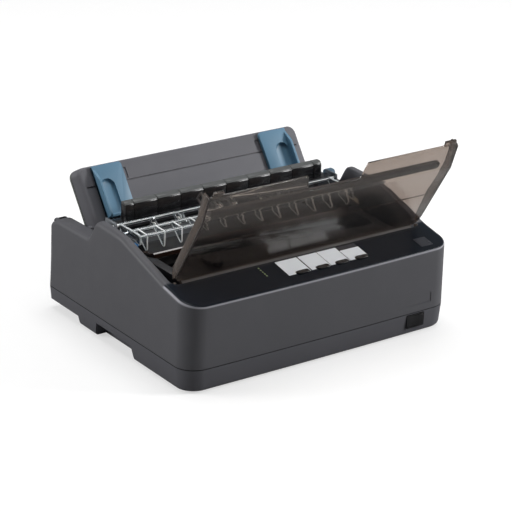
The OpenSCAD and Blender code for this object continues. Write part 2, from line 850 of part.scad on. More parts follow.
// ---------- sheet guide ----------

guide_side_x = guide_w / 2 + guide_side;
split_w = 9;

// Outline of the sheet guide seen square on
module guide_outline(x, top) {
    r = 9;
    translate([-x, guide_low]) square([2 * x, top - guide_low - r]);
    translate([-x + r, top - r - 1]) square([2 * x - 2 * r, r + 1]);
    for (s = [-1, 1]) translate([s * (x - r), top - r]) circle(r);
}

// Solid body of the sheet guide between depths w0 and w1, drawn in by t
module guide_body(w0, w1, t) {
    intersection() {
        translate([0, 0, -w1]) linear_extrude(w1 - w0)
            guide_outline(guide_side_x - t, guide_low + guide_len - t);
        rotate([-90, 0, 0]) translate([0, 0, guide_low + t]) linear_extrude(guide_len)
            polygon([[-guide_w / 2 + t, -1], [-guide_w / 2 + t, 0], [-guide_side_x + t, split_w],
                [-guide_side_x + t, 40], [guide_side_x - t, 40], [guide_side_x - t, split_w],
                [guide_w / 2 - t, 0], [guide_w / 2 - t, -1]]);
    }
}

module sheet_guide_front() {
    color("#66666a") on_guide() difference() {
        union() {
            difference() {
                guide_body(0, split_w, 0);
                guide_body(guide_shell_t, split_w + 1, guide_shell_t);
            }
            // Hinge pins, with a web behind each
            both_sides() {
                bar_x(guide_w / 2 - 6, stub_x + skirt_t + 0.4, guide_pin_v, guide_pin_w, guide_pin_d);
                translate([guide_w / 2 - 6, guide_low + 1, -split_w]) cube([3, 14, split_w - 1]);
            }
        }
        // Track for the edge guides, right across the face
        translate([-guide_w / 2 + 4, track_v, -1.6]) cube([guide_w - 8, track_w, 4]);
        // Thumb dent
        translate([-89.5, 46.5, 1.6]) sphere(d = 5);
    }
}

module sheet_guide_rear() {
    color("#5c605c") on_guide() difference() {
        guide_body(split_w, guide_t, 0);
        guide_body(split_w - 1, guide_t - guide_shell_t, guide_shell_t);
        both_sides() bar_x(guide_w / 2 - 12, stub_x, guide_pin_v, guide_pin_w, guide_pin_d + 0.6);
    }
}

// Blue edge guide, drawn for the left side and mirrored for the right
module edge_guide() {
    x1 = -edge_x;
    color("#557a93") on_guide() difference() {
        union() {
            translate([x1, 0, 0.3]) linear_extrude(edge_t) union() {
                square([edge_w, edge_len - 6]);
                square([edge_w - 6, edge_len]);
                translate([edge_w - 6, edge_len - 6]) circle(6);
            }
            // Fence along the outer edge
            translate([x1, 0, 0.3]) cube([3, edge_len, edge_fence_h]);
            // Raised rim round the finger dish
            translate([x1 + 5, 2, 0.3]) linear_extrude(edge_t + 2) dish(19, 46);
            // Key in the track
            translate([x1 + 4, track_v + 0.2, -1.3]) cube([edge_w - 9, track_w - 0.4, 2]);
        }
        translate([x1 + 6.5, 3.5, 1.6]) linear_extrude(20) dish(16, 43);
    }
}

// Upright dish with an arched top
module dish(w, h) {
    square([w, h - w / 2]);
    translate([w / 2, h - w / 2]) circle(w / 2);
}

module edge_guide_left() {
    edge_guide();
}

module edge_guide_right() {
    mirror([1, 0, 0]) edge_guide();
}

// ---------- paper path ----------

module separator_bar() {
    w = separator_w / 2;
    color("#17171a") difference() {
        union() {
            along_x(-w, w) polygon([[separator_y, separator_z], [separator_y, separator_z + separator_h - 3],
                [separator_y + 1.5, separator_z + separator_h - 0.6],
                [separator_y + 3.5, separator_z + separator_h],
                [separator_y + separator_d - 1, separator_z + separator_h],
                [separator_y + separator_d, separator_z + separator_h - 1.5],
                [separator_y + separator_d, separator_z]]);
            block([-frame_x, separator_y - 1, separator_z - 3], [frame_x, separator_y + 12, separator_z]);
        }
        for (i = [-4 : 4]) {
            block([i * segment_pitch - groove_w / 2, separator_y - 1, separator_z + 0.5],
                [i * segment_pitch + groove_w / 2, separator_y + 0.9, separator_z + separator_h + 1]);
            block([i * segment_pitch - groove_w / 2, separator_y - 1, separator_z + separator_h - 0.8],
                [i * segment_pitch + groove_w / 2, separator_y + 20, separator_z + separator_h + 1]);
        }
    }
}

module tension_unit() {
    w = tension_w / 2;
    color("#8f9396") difference() {
        union() {
            for (p = [[tension_y, tension_z], [tension_mid_y, tension_z], [tension_edge_y, tension_edge_z]])
                bar_x(-w, w, p[0], p[1], rail_d);
            // Pointed fins under the two front rails
            for (i = [-(fin_count - 1) / 2 : (fin_count - 1) / 2])
                along_x(i * fin_pitch - fin_t / 2, i * fin_pitch + fin_t / 2) polygon([
                    [tension_mid_y + 1.6, tension_z - 1.8], [tension_mid_y, tension_z + 1],
                    [tension_edge_y, tension_edge_z + 1], [tension_edge_y - 1.6, tension_edge_z - 1],
                    [fin_tip_y - 1, fin_tip_z + 1.5], [fin_tip_y, fin_tip_z], [fin_tip_y + 1.2, fin_tip_z],
                    [fin_tip_y + 5.5, fin_tip_z + 3.6], [fin_tip_y + 12, fin_tip_z + 9.6]]);
            both_sides() along_x(w - tension_end_t, w) polygon([
                [tension_edge_y - 1.6, tension_edge_z - 1.2], [fin_tip_y - 1, fin_tip_z + 8],
                [fin_tip_y + 1.5, fin_tip_z + 6.5], [tension_edge_y + 9, tension_edge_z - 7],
                [star_y - 3, star_z - 3.4], [star_y + 3, star_z - 2.4], [tension_y + 1.4, tension_z - 1.7],
                [tension_y + 1.4, tension_z + 1.4], [tension_mid_y, tension_z + 2],
                [tension_edge_y - 0.6, tension_edge_z + 1.8]]);
            // Hinge pins
            both_sides() bar_x(w - 1, frame_x + frame_t + 0.5, tension_y, tension_z, rail_d - 1);
            // Bearers of the wheel shaft
            for (x = [-wheel_pitch * 4, wheel_pitch * 4]) along_x(x - 1.2, x + 1.2)
                polygon([[star_y - 2.6, star_z - 2.6], [star_y + 2.6, star_z - 2.6],
                    [tension_y + 1, tension_z - 1], [tension_y - 2, tension_z + 1]]);
        }
        bar_x(-w - 1, w + 1, star_y, star_z, star_shaft_d);
    }
}

module tension_shaft() {
    color("#a9acb0") bar_x(-tension_w / 2, tension_w / 2, star_y, star_z, star_shaft_d);
}

module star_wheels() {
    color("#d8d8d4") both_sides() for (j = [0 : 3]) translate([wheel_pitch * (2 * j + 0.5), star_y, star_z])
        rotate([0, 90, 0]) difference() {
            union() {
                translate([0, 0, -0.6]) linear_extrude(1.2) polygon([for (k = [0 : 31])
                    let (r = k % 2 == 0 ? star_d / 2 : star_d / 2 - 0.9)
                    [r * cos(k * 11.25), r * sin(k * 11.25)]]);
                translate([0, 0, -1.6]) cylinder(h = 3.2, d = star_shaft_d + 2);
            }
            translate([0, 0, -3]) cylinder(h = 6, d = star_shaft_d + 2 * shaft_gap);
        }
}

// ---------- chassis ----------

module chassis_base() {
    color("#9a9da1") difference() {
        union() {
            block([-frame_x, deck_y0, deck_z], [frame_x, frame_rear_y, deck_z + deck_t]);
            // Folded-up rail on which the carriage rests
            block([-frame_x, rail_y - 1, deck_z + 1], [frame_x, rail_y + 1, rod_z + 2]);
            // Cartridge supports
            both_sides() block([cartridge_x - 12, cartridge_y0 + 12, deck_z + 1],
                [cartridge_x - 4, cartridge_y0 + 22, cartridge_z0]);
            // Bearer of the idler pulley
            translate([pulley_x, belt_y, deck_z + 1])
                cylinder(h = belt_z - belt_w / 2 - 1.5 - deck_z - 1, d = 8);
            translate([pulley_x, belt_y, deck_z + 1]) cylinder(h = belt_z + belt_w / 2 - deck_z, d = 3);
        }
        translate([-pulley_x, belt_y, deck_z - 1]) cylinder(h = 5, d = 10);
        // Room for the mains inlet
        block([inlet_x - inlet_w / 2 - 1.5, rear_y - inlet_back - terminal_l - 1.5, deck_z - 1],
            [inlet_x + inlet_w / 2 + 1.5, frame_rear_y + 1, deck_z + deck_t + 1]);
        for (i = [-3 : 3])
            block([i * 32 - 9, 40, deck_z - 1], [i * 32 + 9, 84, deck_z + deck_t + 1]);
    }
}

// Outline of a side frame in (Y, Z)
module frame_outline() {
    polygon([[frame_front_y, deck_z], [frame_front_y, 72], [-12, 78], [2, 100], [38, 106], [40, 125],
        [60, 125], [62, 108], [72, 103], [72, 88], [frame_rear_y, 86], [frame_rear_y, deck_z]]);
}

// Bores shared by both side frames
module frame_bores() {
    bar_x(-body_w, body_w, platen_y, platen_z, shaft_d + 2 * shaft_gap);
    bar_x(-body_w, body_w, tension_y, tension_z, rail_d - 1 + 2 * shaft_gap);
    bar_x(-body_w, body_w, bar_y, bar_z, journal_d + 2 * shaft_gap);
    bar_x(-body_w, body_w, bar_y, tractor_rod_z, tractor_rod_d);
    bar_x(-body_w, body_w, rod_y, rod_z, rod_d);
    bar_x(-body_w, body_w, pinch_y, pinch_z, pinch_shaft_d + 2 * shaft_gap);
}

module side_frame_left() {
    color("#8e9195") difference() {
        union() {
            along_x(-frame_x - frame_t, -frame_x) frame_outline();
            bar_x(-frame_x - 1, -frame_x + lever_reach, lever_y, lever_z, lever_pin_d);
        }
        frame_bores();
        along_x(-frame_x - 5, -frame_x + 5) translate([85, 60]) round_rect(16, 24, 4);
    }
}

module side_frame_right() {
    color("#8e9195") difference() {
        union() {
            along_x(frame_x, frame_x + frame_t) frame_outline();
            bar_x(frame_x + 1, gear_x + gear_w + 0.2, idler_y, idler_z, idler_pin_d);
            bar_x(frame_x + 1, gear_x + gear_w + 0.2, transfer_y, transfer_z, idler_pin_d);
            bar_x(frame_x + 1, gear_x + gear_w + 0.2, release_y, release_z, lever_pin_d);
        }
        frame_bores();
        bar_x(frame_x - 5, frame_x + 5, pinion_y, pinion_z, 11);
    }
}

module paper_guide_bar() {
    x = cartridge_x - arm_w - 1.5;
    color("#2c211d") {
        along_x(-x, x) polygon([[guide_bar_y, guide_bar_z + 1], [guide_bar_y + 1, guide_bar_z],
            [guide_bar_y + guide_bar_d, guide_bar_z],
            [guide_bar_y + guide_bar_d, guide_bar_z + guide_bar_h - 3],
            [guide_bar_y + 2, guide_bar_z + guide_bar_h], [guide_bar_y, guide_bar_z + guide_bar_h - 1]]);
        both_sides() {
            block([x - 3, guide_bar_y + 3, guide_bar_z + 0.5], [x, 12.5, guide_bar_z + 3.5]);
            block([x - 3, 9.5, guide_bar_z + 0.5], [frame_x, 12.5, guide_bar_z + 3.5]);
        }
    }
}

module paper_pan() {
    w = platen_len / 2;
    color("#7f8286") difference() {
        union() {
            along_x(-w, w) translate([platen_y, platen_z]) difference() {
                circle(pan_r + pan_t);
                circle(pan_r);
                polygon([[0, 0], [-40, -23], [-40, 40], [40, 40], [40, 0]]);
            }
            block([-w, platen_y + pan_r, platen_z - 3], [w, bar_y - 16, platen_z - 2]);
            // Ears that reach the side frames
            both_sides() block([w - 1, platen_y + pan_r + 4, platen_z - 3],
                [frame_x, platen_y + pan_r + 12, platen_z - 2]);
        }
        for (x = pinch_xs)
            block([x - pinch_len / 2 - 1, -20, 0], [x + pinch_len / 2 + 1, platen_y + 2, 90]);
    }
}

// ---------- platen and feed train ----------

module platen_roller() {
    color("#1e1e20") difference() {
        bar_x(-platen_len / 2, platen_len / 2, platen_y, platen_z, platen_d);
        bar_x(-platen_len, platen_len, platen_y, platen_z, shaft_d);
    }
}

module platen_shaft() {
    color("#a9acb0") bar_x(-frame_x - frame_t - 1.5, knob_x + knob_w - 3, platen_y, platen_z, shaft_d);
}

module platen_knob() {
    color("#232326") translate([knob_x, platen_y, platen_z]) rotate([0, 90, 0]) difference() {
        union() {
            linear_extrude(knob_w) difference() {
                circle(d = knob_d, $fn = 96);
                for (i = [0 : 23])
                    rotate([0, 0, i * 15]) translate([knob_d / 2 + 0.7, 0]) circle(1.5, $fn = 16);
            }
            translate([0, 0, -1]) cylinder(h = 2, d = shaft_d + 6);
        }
        translate([0, 0, -2]) cylinder(h = knob_w - 1, d = shaft_d);
    }
}

module gear(teeth, bore, y, z, turn) {
    translate([gear_x, y, z]) rotate([0, 90, 0]) rotate([0, 0, turn]) difference() {
        linear_extrude(gear_w) gear_2d(teeth);
        translate([0, 0, -1]) cylinder(h = gear_w + 2, d = bore);
    }
}

module platen_gear() {
    color("#e2ded2") gear(platen_teeth, shaft_d, platen_y, platen_z, 0);
}

module idler_gear() {
    color("#e2ded2") gear(idler_teeth, idler_pin_d + 2 * shaft_gap, idler_y, idler_z, idler_turn);
}

module transfer_gear() {
    color("#e2ded2")
        gear(transfer_teeth, idler_pin_d + 2 * shaft_gap, transfer_y, transfer_z, transfer_turn);
}

module feed_pinion() {
    color("#b99a4a") gear(pinion_teeth, motor_shaft_d + 2 * shaft_gap, pinion_y, pinion_z, pinion_turn);
}

module feed_motor() {
    color("#6f7276") {
        bar_x(frame_x - motor_len, frame_x, pinion_y, pinion_z, motor_d);
        bar_x(frame_x - 1, gear_x + gear_w, pinion_y, pinion_z, motor_shaft_d);
    }
}

module pinch_rollers() {
    color("#3a3a3d") {
        bar_x(-frame_x - frame_t - 0.5, frame_x + frame_t + 0.5, pinch_y, pinch_z, pinch_shaft_d);
        for (x = pinch_xs) bar_x(x - pinch_len / 2, x + pinch_len / 2, pinch_y, pinch_z, pinch_d);
    }
}

// ---------- carriage ----------

module carriage_rod() {
    color("#b4b7ba") bar_x(-frame_x - frame_t - 1, frame_x + frame_t + 1, rod_y, rod_z, rod_d);
}

module carriage() {
    w = carriage_w / 2;
    run = pulley_d / 2;
    color("#26262a") difference() {
        union() {
            block([-w, -50, belt_z - 6], [w, rod_y + rod_d / 2 + 4, 74]);
            block([-w, rod_y - rod_d / 2 - 4, rod_z - 9], [w, rod_y + rod_d / 2 + 4, 74]);
            both_sides() block([15, -42, 73], [17, -12, 86]);
        }
        bar_x(-200, 200, rod_y, rod_z, rod_d + 2 * shaft_gap);
        block([-200, rail_y - 1.4, 30], [200, rail_y + 1.4, rod_z + 2.5]);
        for (y = [belt_y - run, belt_y + run])
            block([-200, y - 1.5, belt_z - belt_w / 2 - 0.6], [200, y + 1.5, belt_z + belt_w / 2 + 0.6]);
        block([-w + 4, belt_y - 3, belt_z - 7], [w - 4, belt_y + 3, 70]);
    }
}

module print_head() {
    color("#6a6d70") {
        block([-13, -12, 74], [13, -3, 94]);
        for (i = [0 : 5]) block([-13, -38 + i * 4.4, 76], [13, -36.4 + i * 4.4, 93]);
        block([-10, -38, 74], [10, -10, 90]);
        along_x(-7, 7)
            polygon([[-4, 77], [-4, 93], [2, 92], [nose_y - 3, head_z + 5], [nose_y - 3, head_z - 5]]);
        block([-1.6, -5, head_z - 4], [1.6, nose_y, head_z + 4]);
    }
}

module carriage_motor() {
    color("#6f7276") {
        translate([-pulley_x, belt_y, deck_z - 26]) cylinder(h = 26, d = motor_d);
        translate([-pulley_x, belt_y, deck_z - 1])
            cylinder(h = belt_z + belt_w / 2 + 2 - deck_z, d = motor_shaft_d);
    }
}

module pulley(x, bore) {
    translate([x, belt_y, belt_z]) difference() {
        union() {
            translate([0, 0, -belt_w / 2 - 0.3]) cylinder(h = belt_w + 0.6, d = pulley_d - belt_t - 0.6);
            for (z = [-belt_w / 2 - 1.3, belt_w / 2 + 0.3])
                translate([0, 0, z]) cylinder(h = 1, d = pulley_d + 1.6);
        }
        translate([0, 0, -10]) cylinder(h = 20, d = bore);
    }
}

module drive_pulley() {
    color("#c9c4b4") pulley(-pulley_x, motor_shaft_d + 2 * shaft_gap);
}

module idler_pulley() {
    color("#c9c4b4") pulley(pulley_x, 3 + 2 * shaft_gap);
}

module carriage_belt() {
    r = pulley_d / 2;
    color("#1b1b1d") translate([0, belt_y, belt_z - belt_w / 2]) linear_extrude(belt_w) difference() {
        union() {
            square([2 * pulley_x, 2 * r + belt_t], center = true);
            for (s = [-1, 1]) translate([s * pulley_x, 0]) circle(r + belt_t / 2);
        }
        square([2 * pulley_x, 2 * r - belt_t], center = true);
        for (s = [-1, 1]) translate([s * pulley_x, 0]) circle(r - belt_t / 2);
    }
}

module ribbon_cartridge() {
    x = cartridge_x;
    color("#26262a") difference() {
        union() {
            block([-x, cartridge_y0, cartridge_z0], [x, cartridge_y1, cartridge_z1]);
            both_sides() along_x(x - arm_w, x) polygon([[cartridge_y1 - 1, cartridge_z0],
                [cartridge_y1 - 1, cartridge_z1], [-14, cartridge_z1], [ribbon_y, cartridge_z1 - 5],
                [ribbon_y, cartridge_z0 - 3], [-6, cartridge_z0 - 3], [-14, cartridge_z0]]);
            both_sides() block([x - 40, cartridge_y0 + 4, cartridge_z1 - 1],
                [x - 12, cartridge_y1 - 4, cartridge_z1 + 0.8]);
        }
        translate([take_up_x, take_up_y, cartridge_z1 - 8]) cylinder(h = 12, d = 6 + 2 * shaft_gap);
    }
}

module ribbon_knob() {
    color("#3f7fae") translate([take_up_x, take_up_y, cartridge_z1]) difference() {
        union() {
            translate([0, 0, 1.1]) linear_extrude(4) difference() {
                circle(d = 18);
                for (i = [0 : 11]) rotate([0, 0, i * 30]) translate([9.6, 0]) circle(1.4, $fn = 16);
            }
            translate([0, 0, -7]) cylinder(h = 9, d = 6);
        }
        translate([0, 0, 4]) cylinder(h = 3, d = 9);
    }
}

module ribbon() {
    x = cartridge_x - 4;
    color("#101012") translate([0, 0, head_z - ribbon_h / 2])
        block([-x, ribbon_y, 0], [x, ribbon_y + ribbon_t, ribbon_h]);
}

// ---------- levers ----------

lever_y = 2;
lever_z = 62;
lever_pin_d = 4;
lever_reach = 4;
release_y = 64;
release_z = 97;

module thickness_lever() {
    x0 = -frame_x + 0.4;
    color("#3a6f9c") {
        difference() {
            union() {
                bar_x(x0, x0 + 2.4, lever_y, lever_z, 11);
                along_x(x0, x0 + 2.4) polygon([[lever_y - 3, lever_z + 3], [5.4, 108], [9.4, 108],
                    [lever_y + 4, lever_z + 2]]);
                block([x0, 4.6, 106.5], [x0 + 3.8, 10.2, 112]);
            }
            bar_x(-200, 0, lever_y, lever_z, lever_pin_d + 2 * shaft_gap);
        }
    }
}

module release_lever() {
    x0 = frame_x + frame_t + 0.4;
    color("#3c5566") {
        difference() {
            union() {
                bar_x(x0, x0 + 3, release_y, release_z, 9);
                along_x(x0, x0 + 3) polygon([[release_y - 4, release_z], [58.5, 114], [65.5, 114],
                    [release_y + 4, release_z]]);
                block([x0, 56.5, 112.5], [x0 + 10, 67.5, 119]);
                along_x(x0, x0 + 10) polygon([[56.5, 118], [56.5, 121], [59, 123.4], [65, 123.4],
                    [67.5, 121], [67.5, 118]]);
            }
            bar_x(0, 200, release_y, release_z, lever_pin_d + 2 * shaft_gap);
        }
    }
}

// ---------- tractors ----------

module tractor(x) {
    color("#2a2a2d") translate([x, 0, 0]) difference() {
        union() {
            block([-tractor_w / 2, bar_y - tractor_d / 2, tractor_z0],
                [tractor_w / 2, bar_y + tractor_d / 2, tractor_z0 + tractor_h]);
            // Hinge knuckles of the door
            for (y = [bar_y - door_len / 2 - 2.4, bar_y + door_len / 2 + 0.4]) {
                block([door_side(x) * tractor_w / 2 - 1.6, y, door_z - 3],
                    [door_side(x) * tractor_w / 2 + 1.6, y + 2, door_z + 1.2]);
                translate([door_side(x) * tractor_w / 2, y + 2, door_z + 1.2]) rotate([90, 0, 0])
                    cylinder(h = 2, d = 3.2);
            }
        }
        block([-sprocket_w / 2 - 0.5, bar_y - pin_tip - 1, bar_z - pin_tip - 1],
            [sprocket_w / 2 + 0.5, bar_y + pin_tip + 1, 200]);
        bar_x(-100, 100, bar_y, bar_z, tractor_bar * 1.42 + 0.6);
        bar_x(-100, 100, bar_y, tractor_rod_z, tractor_rod_d + 2 * shaft_gap);
        translate([door_side(x) * tractor_w / 2, bar_y + 50, door_z + 1.2]) rotate([90, 0, 0])
            cylinder(h = 100, d = door_pin_d + 2 * shaft_gap);
    }
}

function door_side(x) = x > 0 ? 1 : -1;

module tractor_left() {
    tractor(-tractor_x);
}

module tractor_right() {
    tractor(tractor_x);
}

module sprocket(x) {
    color("#d9d5c8") translate([x, bar_y, bar_z]) rotate([0, 90, 0]) difference() {
        union() {
            translate([0, 0, -sprocket_w / 2]) cylinder(h = sprocket_w, d = sprocket_d);
            for (k = [0 : 7]) rotate([0, 0, k * 45 + 22.5]) rotate([0, 90, 0])
                translate([0, 0, sprocket_d / 2 - 1])
                cylinder(h = pin_tip - sprocket_d / 2 + 1, d = 2.4, $fn = 24);
        }
        cube([tractor_bar + 0.2, tractor_bar + 0.2, 20], center = true);
    }
}

module tractor_sprocket_left() {
    sprocket(-tractor_x);
}

module tractor_sprocket_right() {
    sprocket(tractor_x);
}

module tractor_door(x) {
    s = door_side(x);
    color("#34343a") translate([x, 0, 0]) difference() {
        union() {
            block([min(s * tractor_w / 2, s * (tractor_w / 2 - door_w)), bar_y - door_len / 2, door_z],
                [max(s * tractor_w / 2, s * (tractor_w / 2 - door_w)), bar_y + door_len / 2,
                door_z + door_t]);
            translate([s * tractor_w / 2, bar_y + door_len / 2 + 2, door_z + 1.2]) rotate([90, 0, 0])
                cylinder(h = door_len + 4, d = door_pin_d);
        }
        block([-sprocket_w / 2 - 0.3, bar_y - pin_tip + 2, door_z - 1],
            [sprocket_w / 2 + 0.3, bar_y + pin_tip - 2, door_z + 5]);
    }
}

module tractor_door_left() {
    tractor_door(-tractor_x);
}

module tractor_door_right() {
    tractor_door(tractor_x);
}

module tractor_shaft() {
    color("#3a3a3d") {
        difference() {
            translate([0, bar_y, bar_z]) cube([2 * frame_x - 2, tractor_bar, tractor_bar], center = true);
        }
        bar_x(-frame_x - frame_t - 0.5, -frame_x + 2, bar_y, bar_z, journal_d);
        bar_x(frame_x - 2, gear_x + gear_w, bar_y, bar_z, journal_d);
        gear(tractor_teeth, 1, bar_y, bar_z, tractor_turn);
    }
}

module tractor_rod() {
    color("#b4b7ba") bar_x(-frame_x - frame_t - 0.5, frame_x + frame_t + 0.5, bar_y, tractor_rod_z,
        tractor_rod_d);
}

// ---------- boards ----------

module main_board() {
    z = boards_z + board_t;
    color("#2f5d3a") {
        block([main_x0, -4, boards_z], [main_x1, rear_y - 7.5, z]);
        block([main_x0 + 68, 30, z - eps], [main_x0 + 98, 60, z + 4]);
        for (y = [30, 56]) block([main_x1 - 88, y, z - eps], [main_x1 - 52, y + 14, z + 4]);
        block([main_x1 - 38, 20, z - eps], [main_x1 - 26, 90, z + 12]);
        for (x = [18, 32, 46]) translate([main_x0 + x, 80, z - eps]) cylinder(h = 12, d = 9);
        for (i = [0 : 5]) block([main_x0 + 10, 20 + i * 8, z - eps], [main_x0 + 22, 24 + i * 8, z + 3]);
    }
}

module power_supply() {
    z = boards_z + board_t;
    color("#7a6a3a") {
        block([supply_x0, 0, boards_z], [supply_x1, 104, z]);
        block([supply_x0 + 6, 54, z - eps], [supply_x0 + 44, 86, z + 24]);
        for (y = [14, 34]) translate([supply_x0 + 18, y, z - eps]) cylinder(h = 22, d = 16);
        block([supply_x0 + 34, 10, z - eps], [supply_x0 + 38, 44, z + 22]);
        block([supply_x0 + 4, 92, z - eps], [supply_x1 - 6, 100, z + 8]);
    }
}

// Turns that set each gear's teeth in its neighbour's gaps
function mesh_turn(n1, turn1, n2, angle) = 270 + angle - (turn1 - 90 - angle) * n1 / n2 + 180 / n2;
idler_turn = mesh_turn(platen_teeth, 0, idler_teeth, train_angle);
pinion_turn = mesh_turn(idler_teeth, idler_turn, pinion_teeth, pinion_angle);
transfer_turn = mesh_turn(idler_teeth, idler_turn, transfer_teeth, transfer_angle);
tractor_turn = mesh_turn(transfer_teeth, transfer_turn, tractor_teeth, asin(bar_rise));

// ---------- draw ----------

lower_case();
rubber_feet();
upper_housing();
housing_screws();
rear_connectors();
mains_inlet();
power_switch_body();
power_rocker();
panel_legends();
indicator_lights();
panel_board();
panel_button_1();
panel_button_2();
panel_button_3();
panel_button_4();
printer_cover();
sheet_guide_front();
sheet_guide_rear();
edge_guide_left();
edge_guide_right();
separator_bar();
tension_unit();
tension_shaft();
star_wheels();
chassis_base();
side_frame_left();
side_frame_right();
paper_guide_bar();
paper_pan();
platen_roller();
platen_shaft();
platen_knob();
platen_gear();
idler_gear();
transfer_gear();
feed_pinion();
feed_motor();
pinch_rollers();
carriage_rod();
carriage();
print_head();
carriage_motor();
drive_pulley();
idler_pulley();
carriage_belt();
ribbon_cartridge();
ribbon();
ribbon_knob();
thickness_lever();
release_lever();
tractor_left();
tractor_right();
tractor_sprocket_left();
tractor_sprocket_right();
tractor_door_left();
tractor_door_right();
tractor_shaft();
tractor_rod();
main_board();
power_supply();
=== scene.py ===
"""Looks of a narrow-carriage dot matrix printer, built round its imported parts.

Metres; +X right seen from the front, +Y rear, +Z up. The origin is the middle of the flat underside.
Sizes and outlines are in millimetres until they are multiplied by MM.
"""

from math import copysign, cos, radians, sin, tan

import bmesh
import bpy
from mathutils import Matrix, Vector
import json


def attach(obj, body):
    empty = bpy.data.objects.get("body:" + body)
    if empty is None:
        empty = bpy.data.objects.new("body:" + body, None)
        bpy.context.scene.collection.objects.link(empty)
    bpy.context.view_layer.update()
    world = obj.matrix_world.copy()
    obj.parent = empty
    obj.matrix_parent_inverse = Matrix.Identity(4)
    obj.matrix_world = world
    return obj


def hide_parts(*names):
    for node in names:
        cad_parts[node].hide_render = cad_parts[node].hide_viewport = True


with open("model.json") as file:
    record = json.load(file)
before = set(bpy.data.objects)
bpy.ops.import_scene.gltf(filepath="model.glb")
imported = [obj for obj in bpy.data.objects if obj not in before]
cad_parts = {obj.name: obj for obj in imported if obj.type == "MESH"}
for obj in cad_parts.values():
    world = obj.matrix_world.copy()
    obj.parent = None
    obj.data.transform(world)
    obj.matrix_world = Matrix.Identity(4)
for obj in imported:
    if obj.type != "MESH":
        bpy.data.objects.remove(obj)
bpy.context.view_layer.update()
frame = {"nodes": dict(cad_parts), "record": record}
nodes = frame["nodes"]

MM = 0.001
FOOT_HEIGHT = 1.5

# ---- sizes in millimetres, slopes in degrees ----

HALF_W, FRONT, REAR = 174.0, -137.5, 137.5
# Joint between the lower case and the housing
SEAM_Z = 25.4
CORNER_R, REAR_R = 24.0, 6.0
# Half of the front's straight part, and how far its ends lie behind its middle
BOW_HALF, FRONT_BOW = HALF_W - CORNER_R, 1.2
# Opening over the mechanism: front edge, half width and corner radius
OPEN_Y, OPEN_X, OPEN_R = -91.5, 162.5, 8.0
# Half width between the rear arms, and top of the rear wall
ARM_X, SILL_Z = 154.5, 80.0
SIDE_FILLET, FRONT_FILLET, REAR_FILLET = 5.5, 2.4, 4.0
# Lean of the sides and of the rear wall, per millimetre of height
SIDE_DRAFT, REAR_LEAN = 0.0152, 0.07
SHELL_T = 2.2
# Side line of the housing's top, front to rear, as y and z
TOP_LINE = [(-140, 94.9), (-91.5, 104.6), (-8, 129.5), (10, 130.8), (37.8, 131.5), (42.2, 129.9),
            (54.2, 109.2), (58.5, 107.9), (121, 106.4), (130, 102.6), (140, 95.0)]
# Control panel: height of its front edge, and its slope
PANEL_Z, PANEL_SLOPE = 95.4, 11.3
BUTTON_XS, BUTTON_V = (-19.8, 6.5, 32.0, 58.4), 16.8
# Openings for the switch and the connectors, as x0, z0, x1, z1, and how deep the switch sits
SWITCH, SWITCH_IN = (112.75, 8.3, 136.85, 23.7), 2.1
PORTS = (-96.0, 9.0, 4.0, 21.5)
# Cover: pitch of the closed sheet, how far it stands open, height up to its bend, bend, and height above it
COVER_RISE, COVER_OPEN = 15.706, 105.5
COVER_LOW, COVER_BEND, COVER_UP = 96.8, 12.4, 31.8
COVER_TOP = COVER_LOW + COVER_UP
# Its half width and thickness, and how far its face lies under the hinge line
COVER_X, COVER_T, LIP_SET = 160.0, 2.2, 0.6
# Heights at which outlines along the cover follow its bend
BEND_STOPS = (93, 95, 96.8, 98.4, 100, 112)
GUIDE_LEAN = 36.3
# Sheet guide: half widths of its front and rear shells, top and corner radius
GUIDE_FRONT_X, GUIDE_REAR_X, GUIDE_TOP, GUIDE_R = 145.3, 151.8, 62, 9.0
# Tension unit's half length, and the first, pitch and number of its fins
TENSION_X = 141.0
FIN_FIRST, FIN_PITCH, FIN_COUNT = -132, 22, 13


def tilted(y, z, degrees):
    """A frame on the middle plane, turned back about X."""
    return Matrix.Translation((0, y, z)) @ Matrix.Rotation(radians(degrees), 4, "X")


PANEL_TURN = tilted(FRONT, PANEL_Z, PANEL_SLOPE)
COVER_TURN = tilted(-88.4, 103.19, COVER_OPEN + COVER_RISE)
GUIDE_TURN = tilted(86.8, 110, 90 - GUIDE_LEAN)
FRONT_TURN, REAR_TURN = tilted(FRONT, 0, 90), tilted(REAR, 0, 90)
# Turns an outline in Y and Z, with its depth along X, into place
ALONG_X = Matrix(((0, 0, 1, 0), (1, 0, 0, 0), (0, 1, 0, 0), (0, 0, 0, 1)))


# ---- small helpers ----

def linear(hex_value):
    """An sRGB hex colour as linear RGBA."""
    rgb = [int(hex_value[i:i + 2], 16) / 255 for i in (1, 3, 5)]
    return [c / 12.92 if c <= 0.04045 else ((c + 0.055) / 1.055) ** 2.4 for c in rgb] + [1.0]


def feed(tree, node, inputs):
    """Gives a node's sockets their values, or the sockets they link to."""
    for name, value in inputs.items():
        if isinstance(value, bpy.types.NodeSocket):
            tree.links.new(value, node.inputs[name])
        else:
            node.inputs[name].default_value = value


def add(tree, kind, inputs=None, **settings):
    """Adds a node with its attributes set and its sockets fed."""
    node = tree.nodes.new(kind)
    for name, value in settings.items():
        setattr(node, name, value)
    feed(tree, node, inputs or {})
    return node


def in_scene(name, data):
    """A new object in the scene."""
    obj = bpy.data.objects.new(name, data)
    bpy.context.scene.collection.objects.link(obj)
    return obj


